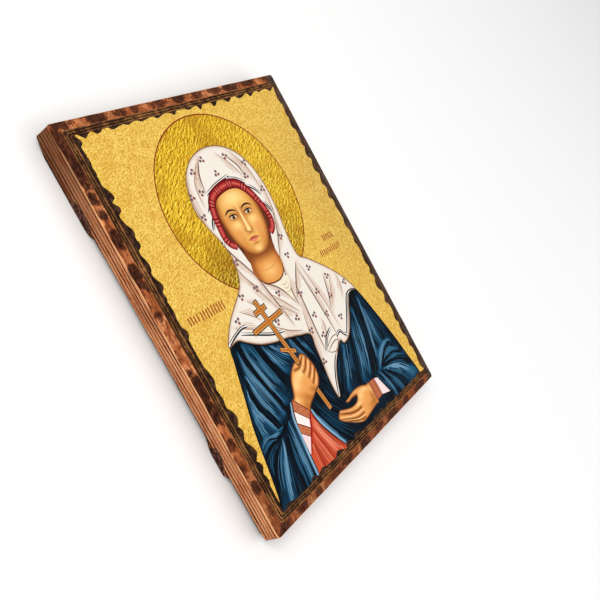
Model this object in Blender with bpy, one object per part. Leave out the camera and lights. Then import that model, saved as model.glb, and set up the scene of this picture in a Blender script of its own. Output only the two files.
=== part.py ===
"""Icon panel: a hewn pine board that carries a gilded picture sheet on its front.

The panel lies on its back. +X runs to the picture's right, +Y to the picture's top and +Z out of
the picture. The origin is in the middle of the back face.
"""

import math
import random

import bmesh
import bpy
from mathutils import Vector, noise

MM = 0.001

# The picture, along the line that its torn edge follows.
PICTURE_WIDTH = 238 * MM
PICTURE_HEIGHT = 297 * MM
SHEET_THICKNESS = 0.8 * MM
SHEET_GAP = 0.3 * MM
SHEET_SETBACK = 0.35 * MM

# The wooden margin, from the picture outwards: a chipped ledge, furrows and a hewn bevel.
SIDE_LEDGE = 0.9 * MM
END_LEDGE = 0.6 * MM
LEDGE_DROP = 1.1 * MM
CHIP_FOOT_SHARE = 0.45
FURROW_PITCH = 2.1 * MM
FURROW_COUNT = 2
FURROW_DEPTH = 0.7 * MM
FURROW_FALL = 0.2 * MM
BEVEL_WIDTH = 7.6 * MM
BEVEL_DROP = 1.7 * MM
ARRIS_SIZE = 0.5 * MM
HEWN_PITCH = 19 * MM

# The board, and the rough chamfer along its back edge.
BOARD_THICKNESS = 22.9 * MM
CORNER_RADIUS = 2.4 * MM
BACK_CHAMFER_HEIGHT = 4.9 * MM
BACK_CHAMFER_WIDTH = 4.2 * MM
BACK_CHAMFER_TAPER = 0.8 * MM
BARK_HEIGHT = 0.9 * MM
BARK_WIDTH = 0.7 * MM
BARK_RISE = 14 * MM
BARK_BREAK = 3 * MM

# Distance between stations along the edge, and those near a corner as shares of its radius.
STATION_STEP = 3.9 * MM
SHEET_STEP = 2.7 * MM
CORNER_STATIONS = (0.0, 0.45, 1.0, 1.9)

# The torn edge: its fine waver, and the length at a corner over which it dies out.
TORN_WAVER = 0.45 * MM
WAVER_PITCH = 3.1 * MM
CORNER_CALM = 4 * MM
CHIP_SKEW = 0.35
CHIP_FULLNESS = 0.6

# Chips on the left, which shows best: the middle as a share of half the picture's height, then
# the length and the bite in millimetres.
LEFT_CHIPS = (
    (0.97, 9, 3.2),
    (0.88, 14, 1.2),
    (0.81, 7, 0.8),
    (0.69, 11, 4.6),
    (0.62, 8, 4.2),
    (0.53, 7, 2.0),
    (0.50, 12, 4.7),
    (0.44, 11, 4.2),
    (0.33, 12, 2.3),
    (0.22, 10, 3.8),
    (0.16, 8, 1.5),
    (0.09, 9, 1.0),
    (-0.03, 9, 2.8),
    (-0.27, 15, 2.6),
    (-0.38, 10, 1.2),
    (-0.48, 13, 4.4),
    (-0.56, 9, 3.0),
    (-0.67, 14, 4.6),
    (-0.75, 9, 3.4),
    (-0.82, 10, 1.6),
)
# Places on the left where the bark was left on the back edge: the middle's share and the length.
LEFT_BARK = ((0.82, 76), (-0.62, 34))
CHIP_SPACING = (11, 20)
CHIP_LENGTH = (6, 14)
CHIP_BITE = (1.0, 4.2)
BARK_SPACING = (80, 150)
BARK_LENGTH = (26, 60)

FURROW_BAND = FURROW_PITCH * FURROW_COUNT
SIDE_MARGIN = SIDE_LEDGE + FURROW_BAND + BEVEL_WIDTH
END_MARGIN = END_LEDGE + FURROW_BAND + BEVEL_WIDTH
BOARD_WIDTH = PICTURE_WIDTH + 2 * SIDE_MARGIN
BOARD_HEIGHT = PICTURE_HEIGHT + 2 * END_MARGIN

SIDES = ("left", "bottom", "right", "top")
SHARP_ANGLE = math.radians(24)
BOARD_COLOUR = (0.26, 0.11, 0.05, 1.0)
GOLD_COLOUR = (0.80, 0.56, 0.16, 1.0)


def smooth_step(value):
    """0 below 0, 1 above 1 and a smooth rise between."""
    value = min(max(value, 0.0), 1.0)
    return value * value * (3 - 2 * value)


def lerp(low, high, share):
    return low + (high - low) * share


def half_length(side):
    """Half the length of the picture's edge on a side."""
    return (PICTURE_HEIGHT if side in ("left", "right") else PICTURE_WIDTH) / 2


def scattered(side, seed, spacing, length, depth):
    """Marks along a side: their middle and half length, and a depth each."""
    draw = random.Random(f"{side}-{seed}")
    reach = half_length(side)
    place = -reach + draw.uniform(*spacing) * MM / 2
    marks = []
    while place < reach:
        marks.append((place, draw.uniform(*length) * MM / 2, draw.uniform(*depth) * MM))
        place += draw.uniform(*spacing) * MM
    return marks


def chips_on(side):
    """The chips that bite into the picture's edge on a side."""
    if side == "left":
        reach = half_length(side)
        return [(at * reach, size * MM / 2, depth * MM) for at, size, depth in LEFT_CHIPS]
    return scattered(side, "chips", CHIP_SPACING, CHIP_LENGTH, CHIP_BITE)


def bark_on(side):
    """The stretches of a side whose back edge keeps its bark."""
    if side == "left":
        return [(at * half_length(side), size * MM / 2) for at, size in LEFT_BARK]
    return [mark[:2] for mark in scattered(side, "bark", BARK_SPACING, BARK_LENGTH, (1, 1))]


CHIPS = {side: chips_on(side) for side in SIDES}
BARK = {side: bark_on(side) for side in SIDES}


def bite(side, along):
    """How far the chips reach into the picture's edge at a place along a side."""
    deepest = 0.0
    for middle, half, depth in CHIPS[side]:
        share = (along - middle) / half
        if abs(share) < 1:
            lean = share + CHIP_SKEW * (1 - share * share)
            deepest = max(deepest, depth * (1 - lean * lean) ** CHIP_FULLNESS)
    waver = noise.noise(Vector((along / WAVER_PITCH, SIDES.index(side) * 9.7, 0.4)))
    calm = smooth_step((half_length(side) - abs(along)) / CORNER_CALM)
    return (deepest + TORN_WAVER * (1 + waver)) * calm


def bark(side, along):
    """1 where the back edge keeps its bark, 0 where it is hewn away."""
    most = 0.0
    for middle, half in BARK[side]:
        rise = smooth_step((middle + half - along) / BARK_RISE)
        fall = smooth_step((along - middle + half) / BARK_BREAK)
        most = max(most, rise * fall)
    return most


def hewn(place, seed):
    """A slow uneven value between -1 and 1 for a place on the board, as a drawknife leaves."""
    return noise.noise(Vector((place[0] / HEWN_PITCH, place[1] / HEWN_PITCH, seed)))


def stations(step):
    """Places round the edge: a side, the share of its length and its half length on the board."""
    found = []
    for side in SIDES:
        reach = half_length(side) + (END_MARGIN if side in ("left", "right") else SIDE_MARGIN)
        corner = [share * CORNER_RADIUS for share in CORNER_STATIONS]
        middle = 2 * reach - 2 * corner[-1]
        count = max(8, round(middle / step))
        places = corner[:-1] + [corner[-1] + middle * n / count for n in range(count + 1)]
        places += [2 * reach - place for place in reversed(corner[1:-1])]
        found += [(side, place / (2 * reach)) for place in places]
    return found


def on_rectangle(side, share, half_x, half_y, radius):
    """A point on a rectangle with rounded corners, walked anticlockwise seen from the front."""
    length = 2 * (half_y if side in ("left", "right") else half_x)
    walked = share * length
    from_corner = min(walked, length - walked)
    cut = 0.0
    if from_corner < radius:
        angle = (1 - from_corner / radius) * math.pi / 4
        from_corner = radius * (1 - math.sin(angle))
        cut = radius * (1 - math.cos(angle))
        walked = from_corner if walked < length / 2 else length - from_corner
    if side == "left":
        return Vector((-half_x + cut, half_y - walked))
    if side == "bottom":
        return Vector((-half_x + walked, -half_y + cut))
    if side == "right":
        return Vector((half_x - cut, -half_y + walked))
    return Vector((half_x - walked, half_y - cut))


def inward(side):
    return Vector(
        {"left": (1, 0), "bottom": (0, 1), "right": (-1, 0), "top": (0, -1)}[side]
    )


def along_side(side, point):
    return point.y if side in ("left", "right") else point.x


def edge_ring(places, set_back):
    """The torn line round the picture, set back from its own edge."""
    ring = []
    for side, share in places:
        point = on_rectangle(
            side,
            share,
            PICTURE_WIDTH / 2 - set_back,
            PICTURE_HEIGHT / 2 - set_back,
            CORNER_RADIUS / 2,
        )
        ring.append(point + inward(side) * bite(side, along_side(side, point)))
    return ring


def outer_ring(places, inset):
    """A line round the board at an inset from its outer face."""
    return [
        on_rectangle(side, share, BOARD_WIDTH / 2 - inset, BOARD_HEIGHT / 2 - inset, CORNER_RADIUS)
        for side, share in places
    ]


def margin_rings(places):
    """The rings of the board's skin, from the picture's edge over the margin to the back."""
    top = BOARD_THICKNESS
    edge = edge_ring(places, 0.0)
    ledge = outer_ring(places, BEVEL_WIDTH + FURROW_BAND)
    foot = [a.lerp(b, CHIP_FOOT_SHARE) for a, b in zip(edge, ledge)]
    rings = [[(p.x, p.y, top) for p in edge]]
    rings.append([(p.x, p.y, top - LEDGE_DROP * (1 + 0.15 * hewn(p, 1.3))) for p in foot])
    rings.append([(p.x, p.y, top - LEDGE_DROP) for p in ledge])
    for furrow in range(FURROW_COUNT):
        ridge_drop = LEDGE_DROP + FURROW_FALL * (furrow + 1)
        for share, drop in ((0.5, ridge_drop + FURROW_DEPTH), (1.0, ridge_drop)):
            line = outer_ring(places, BEVEL_WIDTH + FURROW_BAND - FURROW_PITCH * (furrow + share))
            wander = 0.3 * FURROW_DEPTH
            rings.append([(p.x, p.y, top - drop + wander * hewn(p, 4.1)) for p in line])
    bevel_top = LEDGE_DROP + FURROW_FALL * FURROW_COUNT
    middle = outer_ring(places, BEVEL_WIDTH / 2)
    scoop = 0.22 * BEVEL_DROP
    rings.append(
        [(p.x, p.y, top - bevel_top - BEVEL_DROP / 2 - scoop * hewn(p, 7.7)) for p in middle]
    )
    bevel_foot = bevel_top + BEVEL_DROP
    waver = 0.15 * BEVEL_DROP
    rings.append(
        [
            (p.x, p.y, top - bevel_foot + waver * hewn(p, 2.9))
            for p in outer_ring(places, ARRIS_SIZE)
        ]
    )
    outer = outer_ring(places, 0.0)
    rings.append(
        [(p.x, p.y, top - bevel_foot - ARRIS_SIZE + waver * hewn(p, 2.9)) for p in outer]
    )
    lower, back = [], []
    for (side, share), point in zip(places, outer):
        kept = bark(side, along_side(side, point))
        cut = BACK_CHAMFER_HEIGHT - BACK_CHAMFER_TAPER * point.y / (BOARD_HEIGHT / 2)
        height = lerp(cut * (1 + 0.25 * hewn(point, 5.5)), BARK_HEIGHT, kept)
        width = lerp(BACK_CHAMFER_WIDTH, BARK_WIDTH, kept)
        lower.append((point.x, point.y, height))
        inner = on_rectangle(
            side, share, BOARD_WIDTH / 2 - width, BOARD_HEIGHT / 2 - width, CORNER_RADIUS
        )
        back.append((inner.x, inner.y, 0.0))
    return rings + [lower, back]


def skin_object(name, rings, colour, roughness, metallic):
    """A closed solid whose skin joins the rings, capped flat on the first and the last."""
    shape = bmesh.new()
    loops = [[shape.verts.new(point) for point in ring] for ring in rings]
    count = len(loops[0])
    shape.faces.new(loops[0])
    shape.faces.new(reversed(loops[-1]))
    for upper, lower in zip(loops, loops[1:]):
        for n in range(count):
            after = (n + 1) % count
            shape.faces.new((upper[after], upper[n], lower[n], lower[after]))
    mesh = bpy.data.meshes.new(name)
    shape.to_mesh(mesh)
    shape.free()
    mesh.materials.append(plain_material(name, colour, roughness, metallic))
    mesh.shade_smooth()
    mesh.set_sharp_from_angle(angle=SHARP_ANGLE)
    piece = bpy.data.objects.new(name, mesh)
    bpy.context.scene.collection.objects.link(piece)
    return piece


def plain_material(name, colour, roughness, metallic):
    material = bpy.data.materials.new(name)
    material.use_nodes = True
    shader = material.node_tree.nodes["Principled BSDF"]
    shader.inputs["Base Color"].default_value = colour
    shader.inputs["Roughness"].default_value = roughness
    shader.inputs["Metallic"].default_value = metallic
    return material


def make_board():
    """The pine board, with its chipped ledge, furrows, hewn bevel and rough back edge."""
    return skin_object("board", margin_rings(stations(STATION_STEP)), BOARD_COLOUR, 0.6, 0.0)


def make_picture_sheet():
    """The gilded sheet on the board's front, torn along the chips."""
    outline = edge_ring(stations(SHEET_STEP), SHEET_SETBACK)
    foot = BOARD_THICKNESS + SHEET_GAP
    rings = [[(p.x, p.y, z) for p in outline] for z in (foot + SHEET_THICKNESS, foot)]
    return skin_object("picture_sheet", rings, GOLD_COLOUR, 0.4, 0.6)


def main():
    for old in list(bpy.data.objects):
        bpy.data.objects.remove(old)
    make_board()
    make_picture_sheet()


main()
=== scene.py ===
"""Icon panel: the finish of a hewn pine board that carries a gilded and painted picture.

The board is rebuilt finely over its solid, with growth rings, furrows, burnt patches and bark. The
picture is one flat sheet cut into painted areas, from the gold ground up to the last brush line.
Sizes are in millimetres, with x to the picture's right and y to its top, unless a name says otherwise.
"""

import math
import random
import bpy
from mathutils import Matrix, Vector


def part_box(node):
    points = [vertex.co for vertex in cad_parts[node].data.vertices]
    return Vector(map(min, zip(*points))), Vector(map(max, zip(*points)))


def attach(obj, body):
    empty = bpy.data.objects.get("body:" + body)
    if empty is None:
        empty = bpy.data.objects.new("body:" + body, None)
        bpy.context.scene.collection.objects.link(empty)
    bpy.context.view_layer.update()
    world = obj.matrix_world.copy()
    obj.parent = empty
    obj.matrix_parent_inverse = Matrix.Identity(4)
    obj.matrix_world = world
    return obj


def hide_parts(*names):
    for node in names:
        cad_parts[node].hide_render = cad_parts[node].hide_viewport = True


bl_info = {
    "name": "Icon Panel",
    "version": (1, 0, 0),
    "blender": (4, 5, 0),
    "location": "View3D > Sidebar > Icon Panel",
    "description": "Makes the wood, the gilded picture and the stage of an icon panel",
    "category": "Object",
}

import bmesh
import bpy
import numpy as np
from bpy.props import FloatProperty, FloatVectorProperty, PointerProperty
from mathutils import Matrix, Vector, geometry, noise
from mathutils.bvhtree import BVHTree

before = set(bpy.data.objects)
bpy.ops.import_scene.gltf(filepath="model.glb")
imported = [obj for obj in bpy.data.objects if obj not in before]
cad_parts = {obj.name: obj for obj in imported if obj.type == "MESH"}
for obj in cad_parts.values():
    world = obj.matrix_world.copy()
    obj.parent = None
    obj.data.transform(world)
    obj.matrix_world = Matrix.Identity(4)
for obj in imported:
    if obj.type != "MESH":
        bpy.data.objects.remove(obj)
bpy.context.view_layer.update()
BOARD_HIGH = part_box("board")[1] * 1000
SHEET_LOW, SHEET_HIGH = (corner * 1000 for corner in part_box("picture_sheet"))

# The rim as the solid board has it.
HALF_WIDTH = BOARD_HIGH.x
HALF_HEIGHT = BOARD_HIGH.y
CORNER_RADIUS = 2.4
BEVEL_WIDTH = 7.6
FURROW_BAND = 4.2
LEDGE_INSET = BEVEL_WIDTH + FURROW_BAND
FURROW_DEPTH = 0.7
SIDES = ("left", "bottom", "right", "top")

# The tree's pith beside the board, seen on its end, and the distance between growth rings.
PITH_X = 14.0
PITH_Z = -88.0
RING_PITCH = 1.75
# The lengths over which the pith wavers along the board, and how far the short wave drifts aside.
LONG_WAVE = 47
SHORT_WAVE = 19
WAVE_DRIFT = 70

# Rays up and down to the solids start this far from the board's back.
RAY_START = 80.0
# Insets of the rings of points on the front margin and the back edge, and rows of the rest.
ARRIS_INSET = 0.06
MARGIN_INSETS = (*np.arange(LEDGE_INSET, 0.7, -0.42), 0.5, 0.25, ARRIS_INSET)
BACK_INSETS = (ARRIS_INSET, 0.4, 0.9, 1.5, 2.2, 3.0, 3.8, 4.6)
LEDGE_ROWS = 9
SIDE_ROWS = 26
# Pitch of the points on the back.
BACK_PITCH = 4.5

# Burnt patches on the left bevel: height of the middle, length, middle and half width across
# (0 at the arris and 1 at the furrows), and strength.
LEFT_BURNS = (
    (134, 54, 0.55, 1.1, 0.8),
    (126, 14, 0.66, 0.5, 1.0),
    (104, 12, 0.4, 0.5, 0.8),
    (91, 9, 0.55, 0.4, 0.8),
    (73, 15, 0.55, 0.5, 1.0),
    (45, 18, 0.45, 0.6, 0.95),
    (36, 8, 0.8, 0.3, 0.8),
    (14, 10, 0.45, 0.35, 0.7),
    (-31, 9, 0.3, 0.4, 0.7),
    (-43, 22, 0.6, 0.8, 1.0),
    (-62, 20, 0.5, 0.7, 0.95),
    (-88, 10, 0.5, 0.4, 0.7),
    (-106, 8, 0.2, 0.4, 0.6),
    (-122, 11, 0.6, 0.45, 0.8),
    (-142, 9, 0.7, 0.4, 0.6),
)
# Where bark is left on the left side's lower edge: from one height to another.
LEFT_BARK = ((84, 113), (-104, -76))


def smooth(value, low=0.0, high=1.0):
    """0 below low, 1 above high and a smooth rise between, for numbers and arrays."""
    share = np.clip((value - low) / (high - low), 0.0, 1.0)
    return share * share * (3 - 2 * share)


def speckle(x, y, z, size, seed=0.0):
    """Noise between about -1 and 1 whose grains measure size."""
    return noise.noise(Vector((x / size + seed, y / size - seed, z / size + 0.7 * seed)))


def from_pith(x, y, z, sine):
    """How far a place lies from the wavering pith, aside and up, as numbers or as nodes."""
    waver = sine(y / LONG_WAVE + 0.6) * 0.9 + sine(y / SHORT_WAVE + x / WAVE_DRIFT + 2.1) * 0.35
    return x - PITH_X + waver * 0.4, z - PITH_Z + waver


def growth(x, y, z):
    """The count of growth rings out from the pith at a place in the wood."""
    return math.hypot(*from_pith(x, y, z, math.sin)) / RING_PITCH


# The rim.


def rim_places(step):
    """Places round the rim: a side and the share of its length."""
    places = []
    for side in SIDES:
        length = 2 * (HALF_HEIGHT if side in ("left", "right") else HALF_WIDTH)
        turn = [CORNER_RADIUS * n / 4 for n in range(4)]
        count = round((length - 2 * CORNER_RADIUS) / step)
        middle = length - 2 * CORNER_RADIUS
        walked = turn + [CORNER_RADIUS + middle * n / count for n in range(count + 1)]
        walked += [length - at for at in reversed(turn[1:])]
        places += [(side, at / length) for at in walked]
    return places


def rim_point(place, inset):
    """A point at an inset from the board's outer face."""
    side, share = place
    half_x = HALF_WIDTH - inset
    half_y = HALF_HEIGHT - inset
    length = 2 * (half_y if side in ("left", "right") else half_x)
    walked = share * length
    to_corner = min(walked, length - walked)
    cut = 0.0
    if to_corner < CORNER_RADIUS:
        angle = (1 - to_corner / CORNER_RADIUS) * math.pi / 4
        to_corner = CORNER_RADIUS * (1 - math.sin(angle))
        cut = CORNER_RADIUS * (1 - math.cos(angle))
        walked = to_corner if walked < length / 2 else length - to_corner
    if side == "left":
        return Vector((-half_x + cut, half_y - walked))
    if side == "bottom":
        return Vector((-half_x + walked, -half_y + cut))
    if side == "right":
        return Vector((half_x - cut, -half_y + walked))
    return Vector((half_x - walked, half_y - cut))


def solid_tree(node):
    """A CAD node's surface, ready for rays."""
    return BVHTree.FromObject(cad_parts[node], bpy.context.evaluated_depsgraph_get())


def cast(tree, start, direction):
    """Where a ray meets a CAD surface, in millimetres, or None."""
    hit = tree.ray_cast(Vector(start) * 0.001, Vector(direction))[0]
    return None if hit is None else hit * 1000


def torn_points(places):
    """The torn edge of the solid sheet, one point for each place on the rim."""
    tree = solid_tree("picture_sheet")
    level = (SHEET_LOW.z + SHEET_HIGH.z) / 2
    points = []
    for place in places:
        outside = rim_point(place, LEDGE_INSET - 1)
        inside = rim_point(place, LEDGE_INSET + 10)
        along = (inside - outside).normalized()
        hit = cast(tree, (*outside, level), (*along, 0))
        points.append(Vector(hit[:2]) if hit else rim_point(place, LEDGE_INSET + 2))
    return points


# Expressions for materials.


class Value:
    """A value inside a material: one output of a node, with arithmetic."""

    def __init__(self, finish, socket):
        self.finish = finish
        self.socket = socket

    def _math(self, operation, *terms):
        return self.finish.node("ShaderNodeMath", {"operation": operation}, dict(enumerate(terms)))

    def __add__(self, other):
        return self._math("ADD", self, other)

    def __sub__(self, other):
        return self._math("SUBTRACT", self, other)

    def __mul__(self, other):
        return self._math("MULTIPLY", self, other)

    def __truediv__(self, other):
        return self._math("DIVIDE", self, other)

    def __rsub__(self, other):
        return self._math("SUBTRACT", other, self)

    def __rtruediv__(self, other):
        return self._math("DIVIDE", other, self)

    def sine(self):
        return self._math("SINE", self)

    def fraction(self):
        return self._math("FRACT", self)

    def root(self):
        return self._math("SQRT", self)

    def at_most(self, other):
        return self._math("MINIMUM", self, other)

    def at_least(self, other):
        return self._math("MAXIMUM", self, other)

    __radd__ = __add__
    __rmul__ = __mul__


class Finish:
    """A material on the Principled BSDF, whose nodes are written as expressions."""

    def __init__(self, name, **plain):
        self.material = bpy.data.materials.new(name)
        self.material.use_nodes = True
        self.tree = self.material.node_tree
        self.shader = self.tree.nodes["Principled BSDF"]
        for socket, value in plain.items():
            self.feed(self.shader.inputs[socket.replace("_", " ")], value)

    def feed(self, socket, value):
        """Links a value to a socket, or sets the socket."""
        if isinstance(value, Value):
            self.tree.links.new(value.socket, socket)
        else:
            socket.default_value = value

    def surface(self, **values):
        """Feeds what changes over the surface to the shader."""
        for socket, value in values.items():
            self.feed(self.shader.inputs[socket.replace("_", " ")], value)

    def node(self, kind, settings=None, values=None, out=0):
        """A node with its settings, then the values or links of its sockets."""
        made = self.tree.nodes.new(kind)
        for name, value in (settings or {}).items():
            setattr(made, name, value)
        for key, value in (values or {}).items():
            self.feed(made.inputs[key], value)
        return Value(self, made.outputs[out])

    def place(self):
        """The place on the piece, in millimetres."""
        spot = self.node("ShaderNodeTexCoord", out="Object")
        return self.node("ShaderNodeVectorMath", {"operation": "SCALE"}, {0: spot, "Scale": 1000.0})

    def parts(self, vector):
        """The three numbers of a vector."""
        split = self.node("ShaderNodeSeparateXYZ", values={0: vector})
        return [Value(self, output) for output in split.socket.node.outputs]

    def joined(self, x, y, z):
        """A vector of three numbers."""
        return self.node("ShaderNodeCombineXYZ", values={0: x, 1: y, 2: z})

    def shifted(self, vector, offset):
        """The vector moved by an offset."""
        return self.node("ShaderNodeVectorMath", {"operation": "ADD"}, {0: vector, 1: offset})

    def stretched(self, vector, sizes):
        """The vector measured in grains of these sizes."""
        shares = [1 / size for size in sizes]
        return self.node("ShaderNodeVectorMath", {"operation": "MULTIPLY"}, {0: vector, 1: shares})

    def grain(self, vector, sizes, detail=2.0, rough=0.5, warp=0.0):
        """Noise from 0 to 1 whose grains have these sizes."""
        values = {"Scale": 1.0, "Detail": detail, "Roughness": rough, "Distortion": warp}
        values["Vector"] = self.stretched(vector, sizes)
        return self.node("ShaderNodeTexNoise", values=values)

    def mask(self, name):
        """A number kept on the mesh."""
        return self.node("ShaderNodeAttribute", {"attribute_name": name}, out="Fac")

    def painted(self, name):
        """A colour kept on the mesh."""
        return self.node("ShaderNodeAttribute", {"attribute_name": name}, out="Color")

    def arrow(self, name):
        """A vector kept on the mesh."""
        return self.node("ShaderNodeAttribute", {"attribute_name": name}, out="Vector")

    def step(self, value, low, high):
        """0 below low, 1 above high and a smooth rise between; low may be the larger."""
        values = {"Value": value, "From Min": low, "From Max": high}
        return self.node("ShaderNodeMapRange", {"interpolation_type": "SMOOTHSTEP"}, values)

    def mix(self, base, top, share):
        """The colour of top over base by a share."""
        colours = {6: self.colour(base), 7: self.colour(top), 0: share}
        return self.node("ShaderNodeMix", {"data_type": "RGBA"}, colours, out=2)

    def tint(self, base, factor_colour):
        """The base multiplied by a colour."""
        settings = {"data_type": "RGBA", "blend_type": "MULTIPLY"}
        values = {6: self.colour(base), 7: self.colour(factor_colour), 0: 1.0}
        return self.node("ShaderNodeMix", settings, values, out=2)

    def colour(self, value):
        """A node's colour as it is, or a colour in 0 to 255 as linear light."""
        return value if isinstance(value, Value) else (*linear(value), 1)

    def bump(self, height, distance_mm, strength=1.0):
        """Shading for a relief of this height."""
        values = {"Height": height, "Distance": distance_mm * 0.001, "Strength": strength}
        return self.node("ShaderNodeBump", values=values)


def in_255(colour):
    """A setting's colour, kept as shares of full light, in 0 to 255."""
    return tuple(255 * part for part in colour)


def linear(colour):
    """A colour given in the usual 0 to 255 as linear light."""
    shares = np.asarray(colour, float) / 255
    return np.where(shares <= 0.04045, shares / 12.92, ((shares + 0.055) / 1.055) ** 2.4)


# The board.


def burns_on(side):
    """Burnt patches along a side's bevel."""
    if side == "left":
        return LEFT_BURNS
    draw = random.Random(f"burns-{side}")
    reach = HALF_HEIGHT if side in ("left", "right") else HALF_WIDTH
    place = -reach + draw.uniform(2, 12)
    found = []
    while place < reach:
        length = draw.uniform(9, 24)
        across = draw.uniform(0.3, 0.75)
        found.append((place, length, across, draw.uniform(0.4, 0.7), draw.uniform(0.6, 1.0)))
        place += 0.5 * length + draw.uniform(9, 24)
    return found


def burn_at(burns, side, x, y, across):
    """How strongly the bevel is burnt at a place, across being 0 at the arris and 1 at the furrows."""
    along = y if side in ("left", "right") else x
    wander = 0.36 * speckle(x, y, 0, 5.5, 3.1) + 0.28 * speckle(x, y, 0, 1.9, 8.4)
    most = 0.0
    for middle, length, centre, half, strength in burns:
        run = abs(along - middle) / (length / 2)
        if run < 1.9:
            reach = math.hypot(run, (across - centre) / half) + wander
            most = max(most, strength * float(smooth(reach, 1.35, 0.65)))
    return most


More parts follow.
